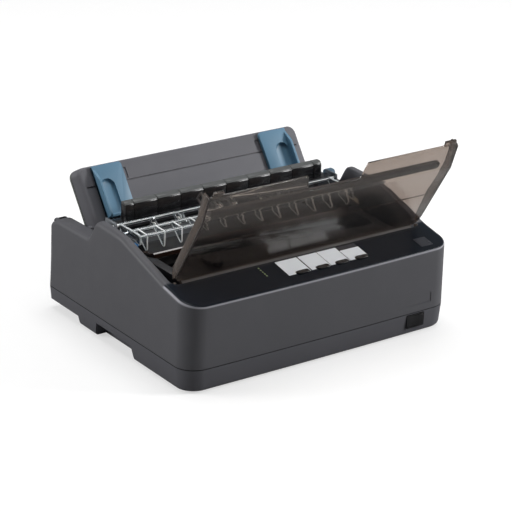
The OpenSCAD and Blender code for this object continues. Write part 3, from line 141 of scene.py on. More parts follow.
def finish(name, mesh, material, body, stands_for=(), sharp=30.0):
    """Makes an object of a mesh or a list of bmeshes, shades it, attaches it to its body, and hides the CAD parts
    it stands for.
    """
    if isinstance(mesh, list):
        mesh = merged(name, mesh)
    obj = in_scene(name, mesh)
    mesh.materials.clear()
    mesh.materials.append(material)
    # Smooth, kept sharp where faces meet at more than so many degrees
    mesh.polygons.foreach_set("use_smooth", [True] * len(mesh.polygons))
    mesh.set_sharp_from_angle(angle=radians(sharp))
    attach(obj, body)
    if stands_for:
        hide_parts(*stands_for)


def applied(obj):
    """Applies an object's modifiers; leaves only the mesh."""
    graph = bpy.context.evaluated_depsgraph_get()
    mesh = bpy.data.meshes.new_from_object(obj.evaluated_get(graph), depsgraph=graph)
    bpy.data.objects.remove(obj)
    return mesh


def add_wall(obj, thickness):
    """Gives a sheet a wall's thickness, on its inner side."""
    wall = obj.modifiers.new("wall", "SOLIDIFY")
    wall.thickness = thickness * MM
    wall.offset = -1.0


def add_bevel(obj, radius, segments, limit):
    """Rounds an object's edges that meet at more than so many degrees."""
    bevel = obj.modifiers.new("edge", "BEVEL")
    bevel.width = radius * MM
    bevel.segments = segments
    bevel.limit_method = "ANGLE"
    bevel.angle_limit = radians(limit)


def softened(node, radius):
    """A copy of a CAD node's mesh: flat stretches joined, edges rounded."""
    mesh = nodes[node].data.copy()
    mesh.materials.clear()
    bm = bmesh.new()
    bm.from_mesh(mesh)
    bmesh.ops.remove_doubles(bm, verts=bm.verts, dist=0.002 * MM)
    bmesh.ops.dissolve_limit(bm, angle_limit=radians(0.6), verts=bm.verts, edges=bm.edges)
    bm.to_mesh(mesh)
    bm.free()
    if "custom_normal" in mesh.attributes:
        mesh.attributes.remove(mesh.attributes["custom_normal"])
    obj = in_scene("soft", mesh)
    add_bevel(obj, radius, 2, 35)
    return applied(obj)


# ---- material tools ----

def material(name):
    """A new material, its tree, its shader and its object coordinates."""
    mat = bpy.data.materials.new(name)
    mat.use_nodes = True
    tree = mat.node_tree
    tree.nodes.clear()
    shader = tree.nodes.new("ShaderNodeBsdfPrincipled")
    add(tree, "ShaderNodeOutputMaterial", {"Surface": shader.outputs[0]})
    place = tree.nodes.new("ShaderNodeTexCoord").outputs["Object"]
    return mat, tree, shader, place


def noise(tree, place, size, detail, roughness=0.5):
    """Noise whose features are about so many millimetres wide."""
    return add(tree, "ShaderNodeTexNoise", {"Vector": place, "Scale": 1 / (size * MM), "Detail": detail,
                                            "Roughness": roughness}).outputs["Fac"]


def ramp(tree, value, low, high, start=0.0, end=1.0, **settings):
    """Low where the value is at start or before, high where it is at end or beyond."""
    return add(tree, "ShaderNodeMapRange", {"Value": value, "From Min": start, "From Max": end,
                                            "To Min": low, "To Max": high}, **settings).outputs[0]


def maths(tree, operation, *values):
    """Result of a math node on values or sockets."""
    return add(tree, "ShaderNodeMath", dict(enumerate(values)), operation=operation).outputs[0]


def scaled(tree, colour, share):
    """A colour times a factor."""
    return add(tree, "ShaderNodeVectorMath", {0: colour, "Scale": share}, operation="SCALE").outputs[0]


def tinted(tree, colour, value, low, high):
    """An sRGB hex colour, scaled from low to high as the value rises."""
    return scaled(tree, linear(colour)[:3], ramp(tree, value, low, high))


def bumped(tree, height, depth, strength):
    """A normal for a surface with relief so many millimetres deep."""
    return add(tree, "ShaderNodeBump", {"Height": height, "Distance": depth * MM,
                                        "Strength": strength}).outputs[0]


def axes_of(tree):
    """X, Y and Z of the object's own coordinates."""
    place = tree.nodes.new("ShaderNodeTexCoord").outputs["Object"]
    return add(tree, "ShaderNodeSeparateXYZ", {"Vector": place}).outputs


def moulded(name, colour, roughness, grain=0.5, depth=0.05, mottle=0.06, spread=0.08, coat=0.0, gleam=0.5):
    """Moulded plastic: spark-eroded grain as fine bump, faint mottling, and uneven sheen from handling."""
    mat, tree, shader, place = material(name)
    feed(tree, shader, {
        "Base Color": tinted(tree, colour, noise(tree, place, 40, 3.0), 1 - mottle, 1 + mottle),
        "Roughness": ramp(tree, noise(tree, place, 14, 4.0), roughness - spread, roughness + spread),
        "Normal": bumped(tree, noise(tree, place, grain, 2.0, 0.6), depth, 0.6),
        "IOR": 1.53, "Specular IOR Level": gleam, "Coat Weight": coat, "Coat Roughness": 0.08})
    return mat


def metal(name, colour, roughness, brush=(1, 1, 1), grain=0.3, depth=0.02):
    """Metal: a brushed or rolled surface drawn out along one axis, duller in patches."""
    mat, tree, shader, place = material(name)
    stretch = add(tree, "ShaderNodeMapping", {"Vector": place, "Scale": brush})
    lines = noise(tree, stretch.outputs[0], grain, 3.0)
    feed(tree, shader, {
        "Base Color": tinted(tree, colour, lines, 0.9, 1.06),
        "Roughness": ramp(tree, noise(tree, place, 18, 3.0), roughness - 0.08, roughness + 0.12),
        "Normal": bumped(tree, lines, depth, 0.5), "Metallic": 1.0})
    return mat


def clear(name, colour, roughness, ior, weight, gleam=0.5, coat=0.0):
    """Transparent plastic: tinted through its thickness, with faint flow marks from moulding."""
    mat, tree, shader, place = material(name)
    flow = noise(tree, place, 25, 2.0)
    feed(tree, shader, {
        "Base Color": tinted(tree, colour, flow, 0.94, 1.06),
        "Roughness": ramp(tree, flow, roughness * 0.7, roughness * 1.4),
        "IOR": ior, "Specular IOR Level": gleam, "Transmission Weight": weight, "Coat Weight": coat,
        "Coat Roughness": 0.26})
    return mat


def painted_sheen_above(mat, height, low, high):
    """Above the cover's bend the sheet faces the ceiling: a stronger coat there is painted sheen, standing in for
    the reflection of the light from above.
    """
    tree = mat.node_tree
    painted_sheen = ramp(tree, axes_of(tree)["Z"], low, high, (height - 2) * MM, (height + 2) * MM)
    feed(tree, tree.nodes["Principled BSDF"], {"Coat Weight": painted_sheen})


def seam_line(mat, half_width=0.42, darkness=0.28):
    """The joint between the two halves of the housing: dust and shadow make it a thin dark line."""
    tree = mat.node_tree
    away = maths(tree, "ABSOLUTE", maths(tree, "SUBTRACT", axes_of(tree)["Z"], SEAM_Z * MM))
    share = ramp(tree, away, darkness, 1.0, half_width * MM, 1.7 * half_width * MM)
    scale_base(tree, tree.nodes["Principled BSDF"], share)


def scale_base(tree, shader, share):
    """Scales the base colour a shader has so far."""
    plain = shader.inputs["Base Color"].links[0].from_socket
    feed(tree, shader, {"Base Color": scaled(tree, plain, share)})


def polished_panel_painted_light(mat, colour, roughness, painted_highlight_gain=3.8, gleam=(0.25, 0.12)):
    """Turns the sloping control panel of the housing smoother, a polished part of the mould, and darker: partly
    the polished plastic's own tone, partly painted reflection of the dark cover above it. Also paints a highlight
    line along its rim.
    """
    tree = mat.node_tree
    shader = tree.nodes["Principled BSDF"]
    axes = axes_of(tree)
    rise = tan(radians(PANEL_SLOPE))
    plane = maths(tree, "MULTIPLY_ADD", axes["Y"], rise, (PANEL_Z - FRONT * rise) * MM)
    above = maths(tree, "SUBTRACT", axes["Z"], plane)
    # Only the panel lies ahead of the cover's hinge
    ahead = ramp(tree, axes["Y"], 1.0, 0.0, -89 * MM, -86 * MM)

    def between(a, b, c, d):
        """1 from b to c above the panel's plane, fading to 0 at a and at d."""
        slab = maths(tree, "MULTIPLY", ramp(tree, above, 0.0, 1.0, a * MM, b * MM),
                     ramp(tree, above, 1.0, 0.0, c * MM, d * MM))
        return maths(tree, "MULTIPLY", slab, ahead)

    panel = between(-1.3, -0.7, 0.5, 2.5)
    # The rounded rim round the panel gets a painted highlight: its base colour scaled up to a lighter line
    rim = between(-3.4, -2.2, -1.3, -0.7)
    scale_base(tree, shader, ramp(tree, rim, 1.0, painted_highlight_gain))
    feed(tree, shader, {"Specular IOR Level": ramp(tree, panel, *gleam)})
    # The panel's dark base colour: partly the polished plastic's tone, partly painted reflection of the dark cover
    for socket, value, kind in (("Base Color", linear(colour), "RGBA"), ("Roughness", roughness, "FLOAT")):
        mix = add(tree, "ShaderNodeMix", data_type=kind)
        factor, first, second = [i for i in mix.inputs if i.enabled][:3]
        tree.links.new(panel, factor)
        tree.links.new(shader.inputs[socket].links[0].from_socket, first)
        second.default_value = value
        tree.links.new([o for o in mix.outputs if o.enabled][0], shader.inputs[socket])


# ---- materials ----

# Charcoal ABS, spark-eroded mould: a fine even grain that spreads the light, polished on the sloping panel; the
# panel's dark colour is partly painted reflection of the cover, and its rim has a painted highlight
SHELL = moulded("charcoal_abs_textured", "#515155", 0.5, gleam=0.25)
polished_panel_painted_light(SHELL, "#0e151e", 0.3)
seam_line(SHELL)
# Charcoal ABS of the lower case: the same tone, coarser and duller
CASE = moulded("charcoal_abs_coarse", "#515156", 0.56, grain=0.7, depth=0.07, gleam=0.27)
seam_line(CASE)
# Smoked polycarbonate: brown-grey in thickness, what lies behind it shows; painted sheen above the bend
SMOKED = clear("smoked_polycarbonate", "#8f8279", 0.02, 1.07, 0.99)
painted_sheen_above(SMOKED, 98.0, 0.03, 1.0)
# Its flanges, seen along the sheet: denser, with a satin outer face
SMOKED_SIDE = clear("smoked_polycarbonate_flange", "#80746c", 0.12, 1.2, 0.72, coat=0.45)
# The same polycarbonate where it is several millimetres thick, almost opaque
SMOKED_RIB = clear("smoked_polycarbonate_thick", "#3d3633", 0.5, 1.45, 0.3, gleam=0.2)
# Clear polystyrene: water-clear with bright edges
CLEAR = clear("clear_polystyrene", "#d4dadd", 0.04, 1.55, 0.95)
# Mid-grey ABS, textured: soft and even, lighter than the housing
GUIDE = moulded("grey_abs_textured", "#5c5c61", 0.55, gleam=0.27)
# Green-grey ABS of the guide's back: flat and dull
GUIDE_BACK = moulded("green_grey_abs", "#5d615d", 0.58)
# Slate-blue ABS, satin: a soft sheen along its edges
BLUE = moulded("slate_blue_abs", "#547991", 0.45, grain=0.6, depth=0.02, gleam=0.35)
# Strong blue polypropylene of the user's touch points
TOUCH_BLUE = moulded("touch_point_blue", "#2f6fa3", 0.4)
# Black ABS, polished: sharp streaks of light
GLOSS_BLACK = moulded("black_abs_polished", "#0d0d10", 0.24, depth=0.003, gleam=0.35, spread=0.03)
# Grey strip on top of the separator, satin: its grey, lighter than the black blocks, is painted light where the
# top catches the light from behind
STRIP = moulded("separator_top_painted_light", "#4b4d4d", 0.42, depth=0.006, gleam=0.35)
# White bars on the fins' thick rims and along the rails: painted highlights of the clear plastic's edges, bright
# lines
WHITE_PAINTED_HIGHLIGHT = moulded("white_painted_highlight", "#e9ecec", 0.3, depth=0.01, mottle=0.02)
# Black ABS, satin: dark with broad dim lights
BLACK = moulded("black_abs_satin", "#1e1e21", 0.42)
# Dark brown phenolic, polished: one long reflection
BROWN = moulded("brown_phenolic_polished", "#33241e", 0.14, depth=0.006, coat=0.5)
# Ivory acetal: waxy, slightly warm
ACETAL = moulded("ivory_acetal", "#e0dccf", 0.38, mottle=0.03)
# White acetal: clean small wheels
WHITE = moulded("white_acetal", "#d9d9d5", 0.4, mottle=0.03)
# Ground nitrile rubber: dead matt with a faint bloom
RUBBER = moulded("ground_nitrile_rubber", "#202022", 0.78, grain=0.35, depth=0.04, mottle=0.12)
# Zinc-plated sheet steel, rolled along X: a dull silver with streaks
ZINC = metal("zinc_plated_steel", "#6f7276", 0.42, brush=(0.08, 1, 1), grain=1.2)
# Ground steel bar: turned lines round it, a bright streak along it
STEEL = metal("ground_steel", "#b4b6b9", 0.2, brush=(1, 0.15, 0.15), grain=0.5)
# Dark die-cast aluminium of the print head's fins: rough and dim
CAST = metal("dark_cast_aluminium", "#6c6f73", 0.5, grain=0.8, depth=0.06)
# Turned brass: a small warm gleam
BRASS = metal("turned_brass", "#b99a55", 0.25)
# Plated motor cans: smooth grey metal
CAN = metal("plated_motor_can", "#75787c", 0.34)
# Solder-masked board: glossy dark green
BOARD = moulded("green_solder_mask", "#28553a", 0.3, coat=0.3, mottle=0.18)
# Phenolic paper board of the supply: patchy tan
SUPPLY = moulded("phenolic_paper_board", "#7b673a", 0.5, mottle=0.15)
# Pale film on the panel, left bare: satin white
LEGEND = moulded("pale_panel_film", "#dfe7ee", 0.36, depth=0.006, mottle=0.02)
# Dark film of the panel's other bare plates
PLATE = moulded("dark_panel_film", "#2b2e36", 0.3, depth=0.006)
# Green lens of a lamp: a wet-looking dot
LENS = moulded("green_lamp_lens", "#8fa274", 0.2, coat=0.5)
# Inked nylon ribbon: woven, matt black
INK = moulded("inked_nylon_ribbon", "#0e0e10", 0.7, grain=0.4, depth=0.08)
# Slate-blue ABS of the release lever, satin
SLATE = moulded("slate_abs", "#3d5667", 0.42)

# The CAD nodes that are only softened: material, and radius of their moulded or sheared edges
FINISHES = {
    "rubber_feet": (RUBBER, 0.8), "housing_screws": (STEEL, 0.2), "rear_connectors": (ZINC, 0.3),
    "mains_inlet": (GLOSS_BLACK, 0.3), "power_switch_body": (GLOSS_BLACK, 0.4),
    "power_rocker": (GLOSS_BLACK, 0.5), "indicator_lights": (LENS, 0.2), "panel_board": (BOARD, 0.1),
    "tension_shaft": (STEEL, 0.1), "star_wheels": (WHITE, 0.1), "chassis_base": (ZINC, 0.2),
    "side_frame_left": (ZINC, 0.2), "side_frame_right": (ZINC, 0.2), "paper_guide_bar": (BROWN, 0.4),
    "paper_pan": (ZINC, 0.2), "platen_roller": (RUBBER, 0.6), "platen_shaft": (STEEL, 0.4),
    "platen_knob": (BLACK, 0.5), "platen_gear": (ACETAL, 0.15), "idler_gear": (ACETAL, 0.15),
    "transfer_gear": (ACETAL, 0.15), "feed_pinion": (BRASS, 0.1), "feed_motor": (CAN, 0.6),
    "pinch_rollers": (RUBBER, 0.2), "carriage_rod": (STEEL, 0.3), "carriage": (BLACK, 0.5),
    "print_head": (CAST, 0.3), "carriage_motor": (CAN, 0.6), "drive_pulley": (ACETAL, 0.2),
    "idler_pulley": (ACETAL, 0.2), "carriage_belt": (RUBBER, 0.2), "ribbon_cartridge": (BLACK, 0.8),
    "ribbon": (INK, 0.05), "ribbon_knob": (BLACK, 0.4), "thickness_lever": (TOUCH_BLUE, 0.5),
    "release_lever": (SLATE, 0.6), "tractor_left": (BLACK, 0.4), "tractor_right": (BLACK, 0.4),
    "tractor_sprocket_left": (ACETAL, 0.2), "tractor_sprocket_right": (ACETAL, 0.2),
    "tractor_door_left": (BLACK, 0.3), "tractor_door_right": (BLACK, 0.3), "tractor_shaft": (BLACK, 0.15),
    "tractor_rod": (STEEL, 0.2), "main_board": (BOARD, 0.1), "power_supply": (SUPPLY, 0.2),
}
# Radii under this are too fine to show
LEAST_RADIUS = 0.15


# ---- outlines ----

def arc(cx, cy, r, start, end, count):
    """Points of an arc from start to end degrees, in so many steps."""
    angles = [radians(start + (end - start) * i / count) for i in range(count + 1)]
    return [(cx + r * cos(a), cy + r * sin(a)) for a in angles]


def disc(cx, cy, r, count=28):
    """Outline of a circle."""
    return arc(cx, cy, r, 0, 360, count)[:-1]


def oval(length, width, count=20):
    """Outline of a slot with round ends."""
    half = arc(length / 2 - width / 2, 0, width / 2, -90, 90, count)
    return half + [(-x, -y) for x, y in half]


def button_rings(length, width):
    """Ovals over the four buttons."""
    return [[(x + px, BUTTON_V + py) for px, py in oval(length, width)] for x in BUTTON_XS]


def box_outline(x0, y0, x1, y1, r=0.0, count=6):
    """Outline of a rectangle, with rounded corners if r is given."""
    if r <= 0:
        return [(x0, y0), (x1, y0), (x1, y1), (x0, y1)]
    points = []
    for cx, cy, start in ((x1 - r, y0 + r, -90), (x1 - r, y1 - r, 0), (x0 + r, y1 - r, 90), (x0 + r, y0 + r, 180)):
        points += arc(cx, cy, r, start, start + 90, count)
    return points


def span(side, near, far):
    """Two distances from the middle, on the side -1 or 1, in rising order."""
    return sorted((side * near, side * far))


# ---- mesh tools ----

def grid_mesh(bm, rows):
    """Adds a sheet of quads through rows of points."""
    verts = [[bm.verts.new((x * MM, y * MM, z * MM)) for x, y, z in row] for row in rows]
    for a, b in zip(verts, verts[1:]):
        for i in range(len(a) - 1):
            bm.faces.new((a[i], b[i], b[i + 1], a[i + 1]))


def loft(rings, turn=Matrix()):
    """A closed body through rings of equally many points."""
    bm = bmesh.new()
    rows = [[bm.verts.new(turn @ Vector(p) * MM) for p in ring] for ring in rings]
    count = len(rows[0])
    for a, b in zip(rows, rows[1:]):
        for i in range(count):
            j = (i + 1) % count
            bm.faces.new((a[i], a[j], b[j], b[i]))
    bm.faces.new(rows[0][::-1])
    bm.faces.new(rows[-1])
    bmesh.ops.recalc_face_normals(bm, faces=bm.faces)
    return bm


def prism(outline, low, high, turn=Matrix()):
    """A closed prism over an outline in X and Y, from z = low to high, placed by a matrix."""
    return loft([[(x, y, z) for x, y in outline] for z in (low, high)], turn)


def rounded(bm, radius, segments=2):
    """Rounds a bmesh's edges, but for those along nearly flat joins."""
    edges = [e for e in bm.edges if len(e.link_faces) == 2 and e.calc_face_angle(0) > radians(35)]
    bmesh.ops.bevel(bm, geom=edges, offset=radius * MM, segments=segments, affect="EDGES", profile=0.5,
                    clamp_overlap=True)
    return bm


def solid(outline, low, high, turn=Matrix(), radius=0.0, segments=2):
    """A closed prism, its edges rounded."""
    bm = prism(outline, low, high, turn)
    return rounded(bm, radius, segments) if radius else bm


def bar(outline, low, high, radius=0.0, segments=2, turn=Matrix()):
    """A closed prism over an outline in Y and Z, running along X, its edges rounded."""
    return solid(outline, low, high, turn @ ALONG_X, radius, segments)


def edge_bars(ring, half_width, reach, low, high, radius, turn=Matrix()):
    """Square bars along X over the edges of an outline, each reaching past its ends by so much."""
    bars = []
    for (y0, z0), (y1, z1) in zip(ring, ring[1:] + ring[:1]):
        unit = Vector((y1 - y0, z1 - z0)).normalized()
        along, n = unit * reach, Vector((-unit.y, unit.x)) * half_width
        line = [(y0 - along.x - n.x, z0 - along.y - n.y), (y1 + along.x - n.x, z1 + along.y - n.y),
                (y1 + along.x + n.x, z1 + along.y + n.y), (y0 - along.x + n.x, z0 - along.y + n.y)]
        bars.append(bar(line, low, high, radius, turn=turn))
    return bars


def together(*meshes):
    """The first mesh with the others added to it."""
    whole = bmesh.new()
    for mesh in meshes:
        whole.from_mesh(mesh)
    whole.to_mesh(meshes[0])
    whole.free()
    return meshes[0]


def merged(name, parts):
    """One mesh of several bmeshes."""
    pieces = []
    for part in parts:
        piece = bpy.data.meshes.new("part")
        part.to_mesh(piece)
        part.free()
        pieces.append(piece)
    mesh = together(bpy.data.meshes.new(name), *pieces)
    for piece in pieces:
        bpy.data.meshes.remove(piece)
    return mesh


def cut(mesh, cutters):
    """The mesh with closed cutters, meshes or bmeshes, taken out of it."""
    body = in_scene("body", mesh)
    tools = [c if isinstance(c, bpy.types.Mesh) else merged("piece", [c]) for c in cutters]
    tool = in_scene("tool", together(bpy.data.meshes.new("tool"), *tools))
    modifier = body.modifiers.new("cut", "BOOLEAN")
    modifier.operation = "DIFFERENCE"
    modifier.solver = "EXACT"
    modifier.object = tool
    result = applied(body)
    bpy.data.objects.remove(tool)
    return result


def repeat_tree():
    """Node tree that repeats a piece at equal steps."""
    tree = bpy.data.node_groups.new("repeat_in_steps", "GeometryNodeTree")
    face = tree.interface
    for label, kind in (("Geometry", "Geometry"), ("Count", "Int"), ("First", "Vector"), ("Pitch", "Vector"),
                        ("Material", "Material")):
        face.new_socket(label, in_out="INPUT", socket_type="NodeSocket" + kind)
    face.new_socket("Geometry", in_out="OUTPUT", socket_type="NodeSocketGeometry")
    given = tree.nodes.new("NodeGroupInput").outputs
    line = add(tree, "GeometryNodeMeshLine", {"Count": given["Count"], "Start Location": given["First"],
                                              "Offset": given["Pitch"]})
    copies = add(tree, "GeometryNodeInstanceOnPoints", {"Points": line.outputs[0], "Instance": given["Geometry"]})
    real = add(tree, "GeometryNodeRealizeInstances", {"Geometry": copies.outputs[0]})
    coated = add(tree, "GeometryNodeSetMaterial", {"Geometry": real.outputs[0], "Material": given["Material"]})
    add(tree, "NodeGroupOutput", {"Geometry": coated.outputs[0]})
    return tree


REPEAT = repeat_tree()


def repeated(parts, material, count, first, pitch):
    """Mesh of parts repeated count times along X."""
    obj = in_scene("repeat", merged("one", parts))
    steps = obj.modifiers.new("steps", "NODES")
    steps.node_group = REPEAT
    values = {"Count": count, "First": Vector((first, 0, 0)) * MM, "Pitch": Vector((pitch, 0, 0)) * MM,
              "Material": material}
    for item in REPEAT.interface.items_tree:
        if item.in_out == "INPUT" and item.name in values:
            steps[item.identifier] = values[item.name]
    return applied(obj)


# ---- upper housing ----

def top_height(y, spread=2.6):
    """Top of the housing at depth y, its bends rounded over a few millimetres."""
    def line_at(place):
        for (y0, z0), (y1, z1) in zip(TOP_LINE, TOP_LINE[1:]):
            if place <= y1:
                return z0 + (z1 - z0) * (place - y0) / (y1 - y0)
        return TOP_LINE[-1][1]

    taps = [-1.0, -0.6, -0.2, 0.2, 0.6, 1.0]
    return sum(line_at(y + t * spread) for t in taps) / len(taps)


def step(x, low, high):
    """Smooth rise from 0 at low to 1 at high."""
    t = min(1.0, max(0.0, (x - low) / (high - low)))
    return t * t * (3 - 2 * t)


def housing_stations():
    """Points round the right half, from the front middle to the rear arm's end.

    Each is (outer x, outer y, normal x, normal y, inner x, inner y, inner normal x, inner normal y).
    """
    out = []
    corner_y = FRONT + CORNER_R
    inner_corner = OPEN_X - OPEN_R
    # The inner edge keeps a little straight beyond the front's, for the start of the corner
    inner_from = inner_corner * 0.97
    front_steps, corner_steps, arc_from = 26, 22, 0.25
    for i in range(front_steps):
        t = i / front_steps
        out.append((BOW_HALF * t, FRONT, 0, -1, inner_from * t, OPEN_Y, 0, 1))
    for i in range(corner_steps + 1):
        t = i / corner_steps
        a = radians(90 * t)
        if t < arc_from:
            inner = (inner_from + (inner_corner - inner_from) * t / arc_from, OPEN_Y, 0, 1)
        else:
            b = radians(90 * (t - arc_from) / (1 - arc_from))
            inner = (inner_corner + OPEN_R * sin(b), OPEN_Y + OPEN_R - OPEN_R * cos(b),
                     -sin(b), cos(b))
        out.append((BOW_HALF + CORNER_R * sin(a), corner_y - CORNER_R * cos(a),
                    sin(a), -cos(a), *inner))
    # The side: the outer and inner edges run level from y = 25, and the drop to the rear arm is drawn finely
    level_y, drop_end, rear_y = 25.0, 61.0, REAR - REAR_R
    ys = [corner_y + (level_y - corner_y) * i / 40 for i in range(1, 41)]
    ys += [level_y + (drop_end - level_y) * i / 30 for i in range(1, 31)]
    ys += [drop_end + (rear_y - drop_end) * i / 16 for i in range(1, 17)]
    start = OPEN_Y + OPEN_R
    for y in ys:
        iy = start + (y - corner_y) * (level_y - start) / (level_y - corner_y) if y < level_y else y
        iy = min(iy, rear_y - 0.5)
        out.append((HALF_W, y, 1, 0, OPEN_X + (ARM_X - OPEN_X) * step(iy, 52.5, 58.0), iy, -1, 0))
    inner_end = out[-1][5]
    for i in range(1, 9):
        a = radians(90 * i / 8)
        out.append((HALF_W - REAR_R + REAR_R * cos(a), rear_y + REAR_R * sin(a),
                    cos(a), sin(a), ARM_X, inner_end + (REAR - 8.0 - inner_end) * i / 16, -1, 0))
    for x in (164.0, 160.0, 156.6):
        out.append((x, REAR, 0, 1, ARM_X, REAR - 8.0 + (168 - x) * 0.12, -1, 0))
    return out


def housing_section(station):
    """A station's section: outer wall, top fillet, top, inner edge and skirt."""
    ox, oy, nx, ny, ix, iy, mx, my = station
    bow = FRONT_BOW * (ox / BOW_HALF) ** 2 * -ny if ny < 0 else 0.0
    lean = SIDE_DRAFT * abs(nx) + (REAR_LEAN * ny if ny > 0 else 0.0)
    fillet = SIDE_FILLET * nx * nx + (FRONT_FILLET if ny < 0 else REAR_FILLET) * ny * ny

    def outer(z, inward):
        reach = lean * (z - SEAM_Z) + inward
        return ox - nx * reach, oy + bow - ny * reach, z

    crown = top_height(outer(104.0, fillet)[1])
    spring = crown - fillet
    foot = SEAM_Z + 0.5
    points = [outer(SEAM_Z + 0.02, 1.2), outer(SEAM_Z + 0.08, 0.35), outer(foot, 0.0)]
    points += [outer(foot + (spring - foot) * i / 8, 0.0) for i in range(1, 9)]
    for i in range(1, 8):
        a = radians(90 * i / 7)
        points.append(outer(spring + fillet * sin(a), fillet * (1 - cos(a))))
    edge = 1.3
    rim_x, rim_y = ix - mx * edge, iy - my * edge
    x0, y0 = points[-1][:2]
    for i in range(1, 9):
        y = y0 + (rim_y - y0) * i / 8
        points.append((x0 + (rim_x - x0) * i / 8, y, top_height(y)))
    for i in range(1, 5):
        a = radians(90 * i / 4)
        points.append((rim_x + mx * edge * sin(a), rim_y + my * edge * sin(a),
                       top_height(rim_y) - edge * (1 - cos(a))))
    # The skirt is short at the front, deeper along the sides, and runs down the rear arm
    depth = 3.5 + 11.0 * step(iy, OPEN_Y + 1, OPEN_Y + 10)
    arm = step(iy, 40, 56)
    low = (top_height(iy) - depth) * (1 - arm) + 28.0 * arm
    z0 = points[-1][2]
    return points + [(ix, iy, z0 + (low - z0) * i / 4) for i in range(1, 5)]


def upper_housing():
    """One moulded shell with rounded rims, and holes for the buttons and lamps."""
    bm = bmesh.new()
    right = [housing_section(s) for s in housing_stations()]
    left = [[(-x, y, z) for x, y, z in row] for row in reversed(right)]
    grid_mesh(bm, left + right[1:])
    # Rear wall below the paper entry
    heights = [SEAM_Z + 0.5 + (SILL_Z - 1.5 - SEAM_Z) * j / 6 for j in range(7)]
    wall = []
    for i in range(25):
        x = -156.6 + 313.2 * i / 24
        wall.append([(x, REAR - REAR_LEAN * (z - SEAM_Z), z) for z in heights]
                    + [(x, REAR - 4.4, SILL_Z + 0.4), (x, REAR - 8.0, SILL_Z - 0.6)])
    grid_mesh(bm, wall)
    bmesh.ops.remove_doubles(bm, verts=bm.verts, dist=0.01 * MM)
    bmesh.ops.recalc_face_normals(bm, faces=bm.faces)
    obj = in_scene("shell", merged("upper_housing_shell", [bm]))
    add_wall(obj, SHELL_T)
    cutters = [prism(ring, -5, 3, PANEL_TURN) for ring in button_rings(16.7, 6.7)]
    cutters += [prism(disc(-60.5, 25 + 3.8 * i, 1.0, 20), -5, 3, PANEL_TURN) for i in range(5)]
    # Shallow bare recess on the front, turned to follow the bow
    turn = Matrix.Translation((100, FRONT + 0.53, 0)) @ Matrix.Rotation(0.0129, 4, "Z") @ tilted(0, 0, 90)
    cutters.append(prism(box_outline(0, 34, 45.7, 45, 0.8), -0.5, 3, turn))
    mesh = cut(applied(obj), cutters)
    finish("housing_shell", mesh, SHELL, "housing", ("upper_housing",), sharp=34)


# ---- lower case ----

def plan_ring(inset, z):
    """Plan outline of the case, drawn in by so much; its front bows as the housing's does."""
    points = []
    for sx, sy, r, start in ((1, 1, REAR_R, 0), (-1, 1, REAR_R, 90), (-1, -1, CORNER_R, 180),
                             (1, -1, CORNER_R, 270)):
        y = REAR - r if sy > 0 else FRONT + r
        points += arc(sx * (HALF_W - r), y, max(0.5, r - inset), start, start + 90, 14)
    bowed = []
    for x, y in points:
        short = max(0.0, FRONT + CORNER_R - y)
        bowed.append((x, y + FRONT_BOW * min(1.0, abs(x) / BOW_HALF) ** 2 * short / CORNER_R, z))
    ring = []
    for p, q in zip(bowed, bowed[1:] + bowed[:1]):
        ring.append(p)
        # The long straights at the front and rear are divided
        if abs(q[0] - p[0]) > 100:
            for k in range(1, 16):
                x = p[0] + (q[0] - p[0]) * k / 16
                y = FRONT + inset + FRONT_BOW * (x / BOW_HALF) ** 2 if p[1] < 0 else p[1]
                ring.append((x, y, z))
    return ring


